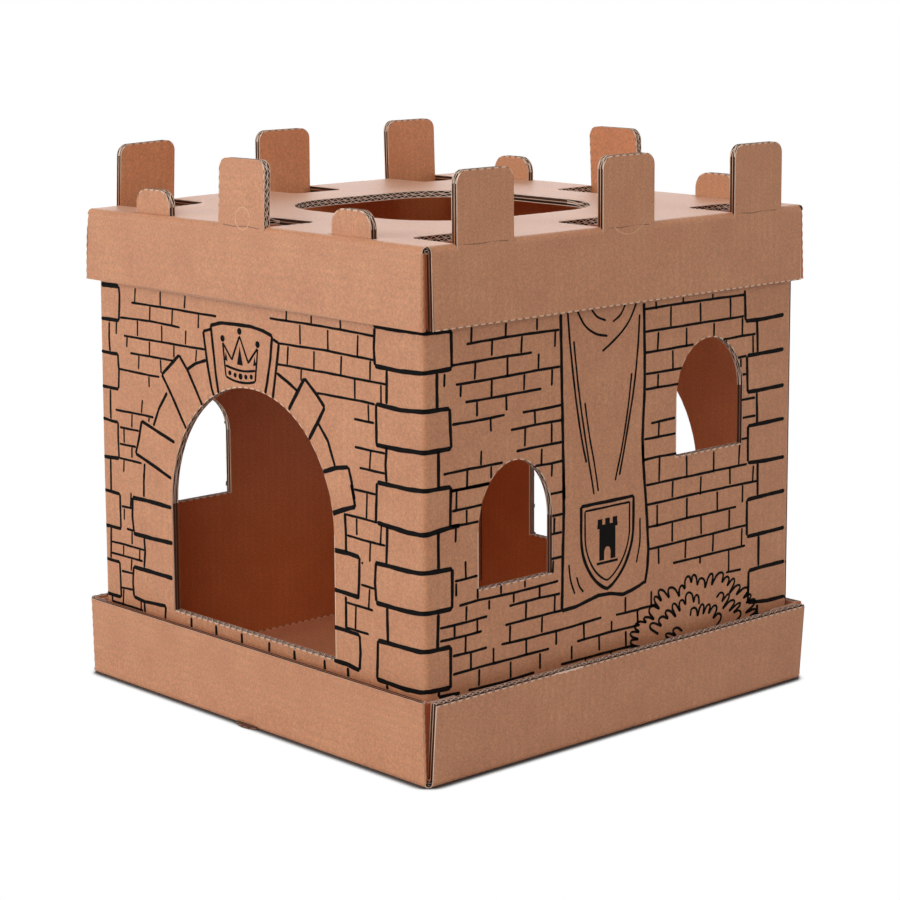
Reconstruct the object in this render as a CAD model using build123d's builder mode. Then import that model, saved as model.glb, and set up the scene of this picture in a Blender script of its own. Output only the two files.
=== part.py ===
from build123d import *
import os

os.makedirs("parts", exist_ok=True)

# Cardboard castle in three folded sheets. Millimetres, +Z up, origin under the middle of the base.
# The doorway is in the front wall, at -Y, and the banner side is at +X.

# Board
board = 6.4  # double-wall corrugated board
flap = 1.8  # glued flap, crushed flat
play = 0.6  # between the sleeve and the lid
base_play = 3.5  # between the sleeve and the base, which is looser
weld = 0.4  # depth by which a glued flap is pressed into its wall

# Wall sleeve
sleeve_width = 432.0
sleeve_depth = 432.0
sleeve_height = 412.0
sleeve_fold = 4.0  # outer radius of the corner folds
joint_flap = 35.0
joint_inset = 12.0
door_width = 213.0
door_sill = 71.0
door_height = 210.0
window_width = 76.0
window_height = 96.5
low_sill = 140.0
high_sill = 215.5
window_offset = 115.5

# Tabs on the front and back walls of the sleeve
tab_width = 47.0
tab_offset = 131.0
tab_rise = 24.5
tab_radius = 11.0
slot_play = 1.2

# Lid
skirt_depth = 65.0
skirt_lean = 1.5
lid_fold = 5.0
merlon_width = 60.0
merlon_rise = 57.0
merlon_radius = 10.0
merlon_margin = 28.5  # from the end of a side skirt to its nearest merlon
hatch_side = 224.0
hatch_radius = 70.0

# Base
wall_height = 69.0
side_lean = 5.0
front_lean = 1.5
base_fold = 4.0
lip_width = 27.0
lip_reach = 4.5
lip_thickness = 2.0

# Corners of both trays
corner_gap = 5.0  # a side wall stops this far short of the corner
corner_fold = 3.0
flap_length = 45.0
flap_bevel = 8.0
flap_step = 1.5

# Outer sizes of the two trays, from the sleeve that they hold
lid_width = sleeve_width + 2 * (play + flap + board)
lid_depth = sleeve_depth + 2 * (play + board)
base_width = sleeve_width + 2 * (base_play + flap + board)
base_depth = sleeve_depth + 2 * (base_play + board)
sleeve_top = board + sleeve_height
lid_top = sleeve_top + board
merlon_spacing = lid_depth / 2 - corner_gap - merlon_margin - merlon_width / 2

# Base tray, folded up from its floor. The front and back walls run between the side walls.
with BuildPart() as base_tray:
    with BuildSketch(Plane.YZ) as front_and_back:
        with BuildLine():
            Polyline(
                (-base_depth / 2, 0),
                (base_depth / 2, 0),
                (base_depth / 2 + front_lean, wall_height),
                (base_depth / 2 + front_lean - board, wall_height),
                (base_depth / 2 - board, board),
                (-base_depth / 2 + board, board),
                (-base_depth / 2 - front_lean + board, wall_height),
                (-base_depth / 2 - front_lean, wall_height),
                close=True,
            )
        make_face()
        fillet(front_and_back.vertices().group_by(Axis.Y)[0], base_fold)
    extrude(amount=base_width / 2 - board, both=True)
    with BuildSketch(Plane.XY):
        RectangleRounded(base_width - 2 * board, base_depth + 2 * front_lean, corner_fold)
    extrude(amount=wall_height, mode=Mode.INTERSECT)

    with BuildSketch(Plane.XZ) as sides:
        with BuildLine():
            Polyline(
                (-base_width / 2, 0),
                (base_width / 2, 0),
                (base_width / 2 + side_lean, wall_height),
                (base_width / 2 + side_lean - board, wall_height),
                (base_width / 2 - board, board),
                (-base_width / 2 + board, board),
                (-base_width / 2 - side_lean + board, wall_height),
                (-base_width / 2 - side_lean, wall_height),
                close=True,
            )
        make_face()
        fillet(sides.vertices().group_by(Axis.Y)[0], base_fold)
    extrude(amount=base_depth / 2 - corner_gap, both=True)

    # Glued flaps: the front and back walls turn the corner and lie inside the side walls
    for side in (-1, 1):
        for end in (-1, 1):
            with BuildSketch(Plane.YZ.offset(side * (base_width / 2 - board - flap))):
                with BuildLine():
                    Polyline(
                        (end * (base_depth / 2 - board), board - weld),
                        (end * (base_depth / 2 - flap_length), board - weld),
                        (end * (base_depth / 2 - flap_length), wall_height - flap_step - flap_bevel),
                        (end * (base_depth / 2 - flap_length + flap_bevel), wall_height - flap_step),
                        (end * (base_depth / 2 - board), wall_height - flap_step),
                        close=True,
                    )
                make_face()
            extrude(amount=side * (flap + weld))

    # Half-moon lip, punched out of the front fold
    with BuildSketch(Plane.XY):
        with BuildLine():
            ThreePointArc(
                (-lip_width / 2, -base_depth / 2 + base_fold),
                (0, -base_depth / 2 - lip_reach),
                (lip_width / 2, -base_depth / 2 + base_fold),
            )
            Line(
                (lip_width / 2, -base_depth / 2 + base_fold),
                (-lip_width / 2, -base_depth / 2 + base_fold),
            )
        make_face()
    extrude(amount=lip_thickness)
base_tray.part.label = "base_tray"
export_step(base_tray.part, "parts/base_tray.step")

# Wall sleeve, one sheet wrapped round four corner folds and standing on the floor of the base
with BuildPart() as wall_sleeve:
    with BuildSketch(Plane.XY.offset(board)):
        RectangleRounded(sleeve_width, sleeve_depth, sleeve_fold)
        Rectangle(sleeve_width - 2 * board, sleeve_depth - 2 * board, mode=Mode.SUBTRACT)
    extrude(amount=sleeve_height)

    # Arched doorway, through the front wall and the back wall
    with BuildSketch(Plane.XZ) as doorway:
        with BuildLine():
            left_jamb = Line(
                (-door_width / 2, board + door_sill + door_height - door_width / 2),
                (-door_width / 2, board + door_sill),
            )
            sill = Line(left_jamb @ 1, (door_width / 2, board + door_sill))
            right_jamb = Line(sill @ 1, (door_width / 2, (left_jamb @ 0).Y))
            ThreePointArc(right_jamb @ 1, (0, board + door_sill + door_height), left_jamb @ 0)
        make_face()
    extrude(amount=sleeve_depth, both=True, mode=Mode.SUBTRACT)

    # Arched windows, through both side walls: a low one near the front, a high one near the back
    for place, window_sill in ((-window_offset, low_sill), (window_offset, high_sill)):
        with BuildSketch(Plane.YZ):
            with BuildLine():
                near_jamb = Line(
                    (place - window_width / 2, board + window_sill + window_height - window_width / 2),
                    (place - window_width / 2, board + window_sill),
                )
                sill = Line(near_jamb @ 1, (place + window_width / 2, board + window_sill))
                far_jamb = Line(sill @ 1, (place + window_width / 2, (near_jamb @ 0).Y))
                ThreePointArc(
                    far_jamb @ 1, (place, board + window_sill + window_height), near_jamb @ 0
                )
            make_face()
        extrude(amount=sleeve_width, both=True, mode=Mode.SUBTRACT)

    # Rounded tabs that stand up through the lid
    for side in (-1, 1):
        with BuildSketch(Plane.XZ.offset(-side * sleeve_depth / 2)) as tabs:
            with Locations((-tab_offset, sleeve_top), (tab_offset, sleeve_top)):
                Rectangle(tab_width, board + tab_rise, align=(Align.CENTER, Align.MIN))
            fillet(tabs.vertices().group_by(Axis.Y)[-1], tab_radius)
        extrude(amount=side * board)

    # Glued joint, a crushed flap inside the back wall where the sheet's two ends meet
    with BuildSketch(Plane.XZ.offset(-(sleeve_depth / 2 - board + weld))):
        with Locations((-sleeve_width / 2 + board, board + sleeve_height / 2)):
            Rectangle(
                joint_flap, sleeve_height - 2 * joint_inset, align=(Align.MIN, Align.CENTER)
            )
    extrude(amount=flap + weld)
wall_sleeve.part.label = "wall_sleeve"
export_step(wall_sleeve.part, "parts/wall_sleeve.step")

# Roof lid, folded down from its top panel and resting on the sleeve's top edge
with BuildPart() as roof_lid:
    with BuildSketch(Plane.YZ) as front_and_back:
        with BuildLine():
            Polyline(
                (-lid_depth / 2, lid_top),
                (lid_depth / 2, lid_top),
                (lid_depth / 2 + skirt_lean, lid_top - skirt_depth),
                (lid_depth / 2 + skirt_lean - board, lid_top - skirt_depth),
                (lid_depth / 2 - board, sleeve_top),
                (-lid_depth / 2 + board, sleeve_top),
                (-lid_depth / 2 - skirt_lean + board, lid_top - skirt_depth),
                (-lid_depth / 2 - skirt_lean, lid_top - skirt_depth),
                close=True,
            )
        make_face()
        fillet(front_and_back.vertices().group_by(Axis.Y)[-1], lid_fold)
    extrude(amount=lid_width / 2 - board, both=True)
    with BuildSketch(Plane.XY.offset(lid_top)):
        RectangleRounded(lid_width - 2 * board, lid_depth + 2 * skirt_lean, corner_fold)
    extrude(amount=-skirt_depth, mode=Mode.INTERSECT)

    with BuildSketch(Plane.XZ) as sides:
        with BuildLine():
            Polyline(
                (-lid_width / 2, lid_top),
                (lid_width / 2, lid_top),
                (lid_width / 2 + skirt_lean, lid_top - skirt_depth),
                (lid_width / 2 + skirt_lean - board, lid_top - skirt_depth),
                (lid_width / 2 - board, sleeve_top),
                (-lid_width / 2 + board, sleeve_top),
                (-lid_width / 2 - skirt_lean + board, lid_top - skirt_depth),
                (-lid_width / 2 - skirt_lean, lid_top - skirt_depth),
                close=True,
            )
        make_face()
        fillet(sides.vertices().group_by(Axis.Y)[-1], lid_fold)
    extrude(amount=lid_depth / 2 - corner_gap, both=True)

    # Glued flaps inside the side skirts
    for side in (-1, 1):
        for end in (-1, 1):
            with BuildSketch(Plane.YZ.offset(side * (lid_width / 2 - board - flap))):
                with BuildLine():
                    Polyline(
                        (end * (lid_depth / 2 - board), sleeve_top + weld),
                        (end * (lid_depth / 2 - flap_length), sleeve_top + weld),
                        (
                            end * (lid_depth / 2 - flap_length),
                            lid_top - skirt_depth + flap_step + flap_bevel,
                        ),
                        (
                            end * (lid_depth / 2 - flap_length + flap_bevel),
                            lid_top - skirt_depth + flap_step,
                        ),
                        (end * (lid_depth / 2 - board), lid_top - skirt_depth + flap_step),
                        close=True,
                    )
                make_face()
            extrude(amount=side * (flap + skirt_lean + weld))

    # Merlons, standing up in the plane of the skirts
    for side in (-1, 1):
        with BuildSketch(Plane.XZ.offset(-side * lid_depth / 2)) as merlon:
            with Locations((0, lid_top - lid_fold)):
                Rectangle(
                    merlon_width, lid_fold + merlon_rise, align=(Align.CENTER, Align.MIN)
                )
            fillet(merlon.vertices().group_by(Axis.Y)[-1], merlon_radius)
        extrude(amount=side * board)
        with BuildSketch(Plane.YZ.offset(side * lid_width / 2)) as merlons:
            with Locations(*[(row * merlon_spacing, lid_top - lid_fold) for row in (-1, 0, 1)]):
                Rectangle(
                    merlon_width, lid_fold + merlon_rise, align=(Align.CENTER, Align.MIN)
                )
            fillet(merlons.vertices().group_by(Axis.Y)[-1], merlon_radius)
        extrude(amount=-side * board)

    # Holes that the merlons leave in the top panel, rounded as the merlons are
    for side in (-1, 1):
        with BuildSketch(Plane.XY.offset(lid_top)) as holes:
            with Locations((0, side * (lid_depth / 2 - merlon_rise))):
                Rectangle(
                    merlon_width,
                    merlon_rise - board,
                    align=(Align.CENTER, Align.MIN if side > 0 else Align.MAX),
                )
            fillet(holes.vertices().sort_by(Axis.Y, reverse=side < 0)[:2], merlon_radius)
        extrude(amount=-board, mode=Mode.SUBTRACT)
        with BuildSketch(Plane.XY.offset(lid_top)) as holes:
            with Locations(
                *[
                    (side * (lid_width / 2 - merlon_rise), row * merlon_spacing)
                    for row in (-1, 0, 1)
                ]
            ):
                Rectangle(
                    merlon_rise - board,
                    merlon_width,
                    align=(Align.MIN if side > 0 else Align.MAX, Align.CENTER),
                )
            fillet(holes.vertices().sort_by(Axis.X, reverse=side < 0)[:6], merlon_radius)
        extrude(amount=-board, mode=Mode.SUBTRACT)

        # Slots for the sleeve's tabs, along the inner face of the front and back skirts
        with BuildSketch(Plane.XY.offset(lid_top)):
            with Locations(
                (-tab_offset, side * (sleeve_depth / 2 + play)),
                (tab_offset, side * (sleeve_depth / 2 + play)),
            ):
                Rectangle(
                    tab_width + 2 * slot_play,
                    play + board + slot_play,
                    align=(Align.CENTER, Align.MAX if side > 0 else Align.MIN),
                )
        extrude(amount=-board, mode=Mode.SUBTRACT)

    # Hatch in the middle of the top panel
    with BuildSketch(Plane.XY.offset(lid_top)):
        RectangleRounded(hatch_side, hatch_side, hatch_radius)
    extrude(amount=-board, mode=Mode.SUBTRACT)
roof_lid.part.label = "roof_lid"
export_step(roof_lid.part, "parts/roof_lid.step")
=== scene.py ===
import bpy
import numpy as np
from mathutils import Matrix


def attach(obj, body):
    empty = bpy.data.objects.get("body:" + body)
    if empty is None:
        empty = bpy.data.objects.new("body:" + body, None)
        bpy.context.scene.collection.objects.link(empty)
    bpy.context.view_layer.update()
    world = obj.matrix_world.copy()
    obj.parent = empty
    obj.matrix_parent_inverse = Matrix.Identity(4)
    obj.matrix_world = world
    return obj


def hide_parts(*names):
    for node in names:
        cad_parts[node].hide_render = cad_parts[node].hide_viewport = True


# A play castle of folded kraft corrugated board: tray base, printed wall sleeve and lift-off lid.
# Lengths are in millimetres until a mesh is made, with the front wall at -Y and the banner wall at +X.
# A place on a sheet is s across its flutes, t or z along them, and n below its outer face.

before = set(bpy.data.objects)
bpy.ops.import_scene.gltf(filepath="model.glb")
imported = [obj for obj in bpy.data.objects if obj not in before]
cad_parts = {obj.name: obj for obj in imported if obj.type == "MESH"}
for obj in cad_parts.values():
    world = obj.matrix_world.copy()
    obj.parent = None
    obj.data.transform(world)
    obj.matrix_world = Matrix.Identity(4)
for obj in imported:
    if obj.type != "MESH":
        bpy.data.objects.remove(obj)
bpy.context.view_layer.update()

board = {
    "thick": 6.4,
    "liner": 0.6,  # each of the three flat papers, a little thicker than it is so that its cut edge shows
    "middle": (2.95, 3.5),  # the flat paper between the two waves
    "pitch": 7.9,  # one wave of the fluting, counted along the side wall's top edge
    "paper": 0.65,  # the wavy paper, drawn a little thicker than it is so that it shows
    "rim": 1.7,  # how far a cut roughens the face beside it
    "ragged": 0.35,  # about how far the cut waves stand back from the edge
    "flap": 1.8,  # a glued flap, crushed flat
    "steps": 10,  # columns of faces to a wave
    "apart": 0.12,  # the least distance between a wave's column and a break
    "second": 2.1,  # how far the second wave is shifted against the first, in radians
}
# A wave's phase wanders by a slow and a quick share, each with the length that it takes.
drift = {"slow": 0.30, "slowRun": 61.0, "quick": 0.22, "quickRun": 23.0, "shift": 2.3}
# Where the wave of each panel starts, in radians.
waveStart = {
    "sleeve": 1.3, "joint": 0.7, "lidTop": 0.4, "lidSide": 0.9, "lidEnd": 0.2, "trayFloor": 1.9,
    "traySide": 2.6, "trayEnd": 3.3,
}
# How large one mark of each finish is. Fibres and grain are drawn coarser than they are, so they show.
grains = {
    "cloud": 35.714,
    "speck": 2.381,
    "mottle": 1.923,
    "fibre": (3.846, 0.7692),  # length and width
    "fluting": 3.846,
    "ink": 5.263,
    "pressed": 3.333,
}
metre = 1000.0  # in millimetres: patterns on Object coordinates count their marks to a metre
chartUnit = 100.0  # millimetres to a unit of a sheet's chart, which patterns along the flutes read
dice = np.random.default_rng(11)
looks = ["liner", "inside", "fluting", "cut", "creased"]


def linearColour(hexColour):
    # sRGB hex to linear light, as the shader wants it
    srgb = np.array([int(hexColour[k : k + 2], 16) for k in (1, 3, 5)]) / 255
    light = np.where(srgb <= 0.04045, srgb / 12.92, ((srgb + 0.055) / 1.055) ** 2.4)
    return (*(float(v) for v in light), 1.0)


def addNode(tree, kind, inputs=None, **settings):
    # one node with its settings: an input is a value, or the socket that feeds it
    added = tree.nodes.new(kind)
    for name, value in settings.items():
        setattr(added, name, value)
    for name, value in (inputs or {}).items():
        if isinstance(value, bpy.types.NodeSocket):
            tree.links.new(value, added.inputs[name])
        else:
            added.inputs[name].default_value = value
    return added


def newMaterial(name):
    # an empty material and its node tree
    material = bpy.data.materials.new(name)
    material.use_nodes = True
    material.node_tree.nodes.clear()
    return material, material.node_tree


def blendColours(tree, factor, first, second, how="MIX"):
    # the first colour where the factor is 0, and the second where it is 1
    mix = addNode(tree, "ShaderNodeMix", {0: factor, 6: first, 7: second}, data_type="RGBA", blend_type=how)
    return mix.outputs[2]


def kraftPaper(name, paper, shade, pale, washboard, rough=0.5, sheen=0.15, litAbove=None):
    # unbleached kraft liner, pressed on a roll: matt brown with darker and paler clouds, short fibres,
    # faint ridges over the flutes with painted shade between them, and a paler fuzz along cuts
    material, tree = newMaterial(name)
    place = addNode(tree, "ShaderNodeTexCoord").outputs["Object"]
    chart = addNode(tree, "ShaderNodeUVMap", uv_map="sheet").outputs["UV"]
    cloud = addNode(
        tree, "ShaderNodeTexNoise",
        {"Vector": place, "Scale": metre / grains["cloud"], "Detail": 4.0, "Roughness": 0.6},
    )
    speck = addNode(
        tree, "ShaderNodeTexNoise",
        {"Vector": place, "Scale": metre / grains["speck"], "Detail": 3.0, "Roughness": 0.7},
    )
    fibres = (chartUnit / grains["fibre"][0], chartUnit / grains["fibre"][1], 1.0)
    grain = addNode(tree, "ShaderNodeMapping", {"Vector": chart, "Scale": fibres})
    fibre = addNode(
        tree, "ShaderNodeTexNoise",
        {"Vector": grain.outputs[0], "Scale": 1.0, "Detail": 3.0, "Roughness": 0.65},
    )
    cloudy = addNode(
        tree, "ShaderNodeMapRange", {"Value": cloud.outputs[0], "From Min": 0.32, "From Max": 0.68},
    )
    base = blendColours(tree, cloudy.outputs[0], linearColour(shade), linearColour(paper))
    if litAbove:
        # paler above a height: painted light on the tabs, which stand up above the lid out of the sleeve's
        # shaded inside
        up = addNode(tree, "ShaderNodeSeparateXYZ", {"Vector": place}).outputs[2]
        top = litAbove["from"] + litAbove["over"]
        up = addNode(
            tree, "ShaderNodeMapRange", {"Value": up, "From Min": litAbove["from"], "From Max": top},
        ).outputs[0]
        base = blendColours(tree, up, base, linearColour(litAbove["colour"]))
    flecks = addNode(
        tree, "ShaderNodeMapRange",
        {"Value": fibre.outputs[0], "From Min": 0.60, "From Max": 0.80, "To Max": 0.30},
    )
    base = blendColours(tree, flecks.outputs[0], base, linearColour(pale))
    specks = addNode(
        tree, "ShaderNodeMapRange",
        {"Value": speck.outputs[0], "From Min": 0.60, "From Max": 0.78, "To Max": 0.24},
    )
    base = blendColours(tree, specks.outputs[0], base, linearColour(shade))
    mottle = addNode(
        tree, "ShaderNodeTexNoise",
        {"Vector": place, "Scale": metre / grains["mottle"], "Detail": 3.0, "Roughness": 0.7},
    )
    tone = addNode(
        tree, "ShaderNodeMapRange",
        {"Value": mottle.outputs[0], "From Min": 0.3, "From Max": 0.7, "To Min": 0.78, "To Max": 1.22},
    )
    tone = addNode(
        tree, "ShaderNodeCombineXYZ", {0: tone.outputs[0], 1: tone.outputs[0], 2: tone.outputs[0]},
    )
    base = blendColours(tree, 1.0, base, tone.outputs[0], how="MULTIPLY")
    split = addNode(tree, "ShaderNodeSeparateXYZ", {"Vector": chart}).outputs[0]
    turns = 2 * np.pi * chartUnit / board["pitch"]
    ridge = addNode(tree, "ShaderNodeMath", {0: split, 1: turns}, operation="MULTIPLY")
    ridge = addNode(tree, "ShaderNodeMath", {0: ridge.outputs[0]}, operation="SINE").outputs[0]
    # the colour is darkened by up to 7% between the flutes' ridges, within the clouds: painted shade of the
    # washboard, beside its bump
    ridgeShade = addNode(
        tree, "ShaderNodeMapRange", {"Value": ridge, "From Min": -1.0, "To Min": 0.93, "To Max": 1.0},
    )
    ridgeShade = addNode(
        tree, "ShaderNodeCombineXYZ", {0: ridgeShade.outputs[0], 1: ridgeShade.outputs[0], 2: ridgeShade.outputs[0]},
    )
    base = blendColours(
        tree, cloudy.outputs[0], base, blendColours(tree, 1.0, base, ridgeShade.outputs[0], how="MULTIPLY"),
    )
    worn = addNode(tree, "ShaderNodeAttribute", attribute_name="rim").outputs["Fac"]
    worn = addNode(
        tree, "ShaderNodeMapRange", {"Value": worn, "From Min": 0.2, "From Max": 0.7, "To Max": 0.85},
    ).outputs[0]
    between = addNode(
        tree, "ShaderNodeMapRange", {"Value": ridge, "From Min": -0.7, "From Max": 0.1},
    ).outputs[0]
    frayed = blendColours(tree, between, linearColour("#8A5536"), linearColour("#F3D2B4"))
    base = blendColours(tree, worn, base, frayed)
    ridge = addNode(tree, "ShaderNodeMath", {0: ridge, 1: washboard}, operation="MULTIPLY").outputs[0]
    height = addNode(
        tree, "ShaderNodeMath", {0: fibre.outputs[0], 1: 0.5, 2: ridge}, operation="MULTIPLY_ADD",
    ).outputs[0]
    height = addNode(
        tree, "ShaderNodeMath", {0: speck.outputs[0], 1: 0.5, 2: height}, operation="MULTIPLY_ADD",
    ).outputs[0]
    bump = addNode(tree, "ShaderNodeBump", {"Height": height, "Strength": 0.5, "Distance": 0.0002})
    dull = addNode(
        tree, "ShaderNodeMapRange",
        {"Value": cloud.outputs[0], "To Min": rough - 0.07, "To Max": rough + 0.07},
    )
    shader = addNode(
        tree, "ShaderNodeBsdfPrincipled",
        {
            "Base Color": base, "Roughness": dull.outputs[0], "Normal": bump.outputs[0], "IOR": 1.5,
            "Sheen Weight": sheen, "Sheen Roughness": 0.5,
        },
    )
    addNode(tree, "ShaderNodeOutputMaterial", {"Surface": shader.outputs[0]})
    return material


def flutedPaper(name, paper, shade, rough=0.8):
    # semi-chemical fluting paper, formed wet between gear rolls: duller than the liner, with no sheen, and
    # drawn darker than it as painted shade in the voids between the papers. The die's cut through the board
    # has the same dull grain, and is pale
    material, tree = newMaterial(name)
    place = addNode(tree, "ShaderNodeTexCoord").outputs["Object"]
    cloud = addNode(
        tree, "ShaderNodeTexNoise",
        {"Vector": place, "Scale": metre / grains["fluting"], "Detail": 3.0, "Roughness": 0.6},
    )
    base = blendColours(tree, cloud.outputs[0], linearColour(shade), linearColour(paper))
    bump = addNode(
        tree, "ShaderNodeBump", {"Height": cloud.outputs[0], "Strength": 0.6, "Distance": 0.0002},
    )
    dull = addNode(
        tree, "ShaderNodeMapRange",
        {"Value": cloud.outputs[0], "To Min": rough - 0.1, "To Max": rough + 0.08},
    )
    shader = addNode(
        tree, "ShaderNodeBsdfPrincipled",
        {"Base Color": base, "Roughness": dull.outputs[0], "Normal": bump.outputs[0], "IOR": 1.5},
    )
    addNode(tree, "ShaderNodeOutputMaterial", {"Surface": shader.outputs[0]})
    return material


boardLooks = [
    kraftPaper("kraft_liner_calendered", "#D19167", "#C4825A", "#E5AD82", 0.16),
    # the inner faces are paler and redder than the outer liner: painted bounce light, which the lid and
    # walls throw on each other inside
    kraftPaper("kraft_liner_inner_face", "#E19666", "#D4885A", "#EDB181", 0.20),
    # the fluting's near-black brown is darker than the paper is: painted shade in the flute voids and
    # inside cut folds
    flutedPaper("fluting_paper_wet_formed", "#5E3521", "#412214"),
    flutedPaper("board_die_cut_edge", "#FFEADB", "#F6CFB0"),
    # a saturated orange for the corner flaps and the lip: painted bounce light in their shade, the same
    # liner as elsewhere
    kraftPaper("kraft_liner_creased_flap", "#E08253", "#CB6F43", "#EE9F72", 0.10),
]
# the tabs above the lid get back a colour near the outer liner's: painted light against the inside's
# painted shade
tabsLitAbove = {"from": 0.4215, "over": 0.002, "colour": "#D0946B"}  # heights in metres
sleeveLooks = list(boardLooks)
# the sleeve's inner faces are a darker, redder orange than the lid's: painted shade and bounce light for
# the dim inside of the castle
sleeveLooks[looks.index("inside")] = kraftPaper(
    "kraft_testliner_inner_face", "#D47D43", "#C77139", "#E29A5A", 0.20, litAbove=tabsLitAbove,
)
print("papers mixed")


def newSheet():
    # the lists that a folded sheet's surfaces are collected in
    return {"points": [], "quads": [], "finish": [], "chart": [], "rim": [], "count": 0}


def addSurface(sheet, points, quads, finish, chart, rim):
    # one more surface: only the points that its faces use, counted on from those already there
    used, place = np.unique(quads, return_inverse=True)
    sheet["points"].append(points[used])
    sheet["quads"].append(place.reshape(-1, 4) + sheet["count"])
    sheet["finish"].append(np.broadcast_to(finish, len(place.reshape(-1, 4))))
    sheet["chart"].append(chart[used])
    sheet["rim"].append(rim[used])
    sheet["count"] += len(used)


def addSlab(
    sheet, place, across, along, filled, outer, inner, finish, under, edge, ragged=0.0, joined=None,
    side=None,
):
    # a grid of cells between the columns at across and the rows at along, laid out once at the depth
    # outer and once at the depth inner, with a wall between them wherever a filled cell meets an open one
    padded = np.pad(filled, 1)
    low = padded[1:, 1:-1] & ~padded[:-1, 1:-1]
    high = ~padded[1:, 1:-1] & padded[:-1, 1:-1]
    left = padded[1:-1, 1:] & ~padded[1:-1, :-1]
    right = ~padded[1:-1, 1:] & padded[1:-1, :-1]
    along = np.array(along, float)
    if ragged:
        nearLow = np.pad(low, ((0, 0), (0, 1))) | np.pad(low, ((0, 0), (1, 0)))
        nearHigh = np.pad(high, ((0, 0), (0, 1))) | np.pad(high, ((0, 0), (1, 0)))
        step = ragged * (0.4 + dice.random(along.shape))
        along += np.where(nearLow, step, 0) - np.where(nearHigh, step, 0)
    s = np.broadcast_to(across, along.shape)
    outer, inner = np.broadcast_to(outer, along.shape), np.broadcast_to(inner, along.shape)
    top = np.stack(np.broadcast_arrays(*place(s, along, outer)), -1).reshape(-1, 3)
    bottom = np.stack(np.broadcast_arrays(*place(s, along, inner)), -1).reshape(-1, 3)
    index = np.arange(along.size).reshape(along.shape)
    face = np.stack([index[:-1, :-1], index[:-1, 1:], index[1:, 1:], index[1:, :-1]], -1)[filled]
    back = face[:, ::-1] + along.size
    walls = np.concatenate([
        np.stack([p, q, q + along.size, p + along.size], -1)[mask]
        for mask, p, q in (
            (low, index[:, 1:], index[:, :-1]),
            (high, index[:, :-1], index[:, 1:]),
            (right, index[1:], index[:-1]),
            (left, index[:-1], index[1:]),
        )
    ])
    quads = np.concatenate([face, back, walls])
    first, second, last = top[face[:, 0]], top[face[:, 1]], top[face[:, 3]]
    if np.sum(np.cross(second - first, last - first) * (first - bottom[face[:, 0]])) < 0:
        quads = quads[:, ::-1]
    touch = np.zeros(along.shape, bool)
    for mask, pads in (
        (low | high, (((0, 0), (0, 1)), ((0, 0), (1, 0)))),
        (left | right, (((0, 1), (0, 0)), ((1, 0), (0, 0)))),
    ):
        for pad in pads:
            touch |= np.pad(mask, pad)
    if joined is not None:
        touch &= ~joined(s, along)  # no frayed rim where this paper only goes on into the next fold
    rims = touch.astype(float).ravel()
    chart = np.stack([s, along], -1).reshape(-1, 2) / chartUnit
    kinds = [looks.index(look) for look in (finish, under, edge, side or edge)]
    finishes = np.repeat(kinds, [len(face), len(face), low.sum() + high.sum(), left.sum() + right.sum()])
    addSurface(
        sheet, np.concatenate([top, bottom]), quads, finishes, np.concatenate([chart, chart]),
        np.concatenate([rims, rims]),
    )


def withRims(along, filled):
    # every row of cells is split in three, so that the roughened rim beside a cut is narrow
    rows = [along[0]]
    for low, high in zip(along[:-1], along[1:]):
        step = np.minimum(board["rim"], 0.3 * (high - low))
        rows += [low + step, high - step, high]
    return np.array(rows), np.repeat(filled, 3, axis=0)


def columns(*parts):
    # all the places in the parts, in order, each once to a thousandth of a millimetre
    return np.unique(np.round(np.concatenate([np.atleast_1d(np.asarray(p, float)) for p in parts]), 3))


def wave(across, start):
    # a cosine across the flutes whose phase wanders a little, as the crests of real fluting do
    wander = drift["slow"] * np.sin(across / drift["slowRun"] + start)
    wander = wander + drift["quick"] * np.sin(across / drift["quickRun"] + drift["shift"] * start)
    return np.cos(2 * np.pi * across / board["pitch"] + start + wander)


def steep(across, start):
    # the paper's thickness is measured square to its slope, so it grows by about the slope's secant
    near = 0.05
    slope = 1 / (2 * near) * (wave(across + near, start) - wave(across - near, start))
    return np.sqrt(1 + slope**2)


def addBoard(sheet, place, breaks, rowsOf, openOf, start, layers="omiab", joined=None):
    # the five papers of double-wall board: outer, wave, middle, wave, inner
    wide = np.diff(breaks) > 4 * board["rim"]
    coarse = columns(breaks, breaks[:-1][wide] + board["rim"], breaks[1:][wide] - board["rim"])
    fine = np.arange(breaks[0], breaks[-1], board["pitch"] / board["steps"])
    free = np.min(np.abs(fine[:, None] - breaks[None, :]), axis=1) > board["apart"]
    fine = columns(fine[free], breaks)
    middle, thick, paper = board["middle"], board["thick"], board["paper"]
    flat = {
        "o": (0.0, board["liner"], "liner", "fluting"),
        "m": (*middle, "fluting", "fluting"),
        "i": (thick - board["liner"], thick, "fluting", "inside"),
    }
    for name, (outer, inner, finish, under) in flat.items():
        if name in layers:
            rows, filled = withRims(rowsOf(coarse), ~openOf(0.5 * (coarse[1:] + coarse[:-1])))
            # the middle and inner papers' cut sides take the darker inside colour, partly for their softer
            # cut along the flutes and partly as painted shade
            side = None if name == "o" else "inside"  # only the outer paper is white at its cut sides
            addSlab(
                sheet, place, coarse, rows, filled, outer, inner, finish, under, "cut", joined=joined,
                side=side,
            )
    for name, low, high, shift in (
        ("a", board["liner"], middle[0], 0.0), ("b", middle[1], thick - board["liner"], board["second"]),
    ):
        if name in layers:
            filled = ~openOf(0.5 * (fine[1:] + fine[:-1]))
            half = paper / 2 * steep(fine, start + shift)
            centre = 0.5 * (low + high) + 0.5 * (high - low - paper) * wave(fine, start + shift)
            outer, inner = np.maximum(centre - half, low), np.minimum(centre + half, high)
            addSlab(
                sheet, place, fine, rowsOf(fine), filled, outer, inner, "fluting", "fluting", "cut",
                ragged=board["ragged"], side="fluting",
            )


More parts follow.
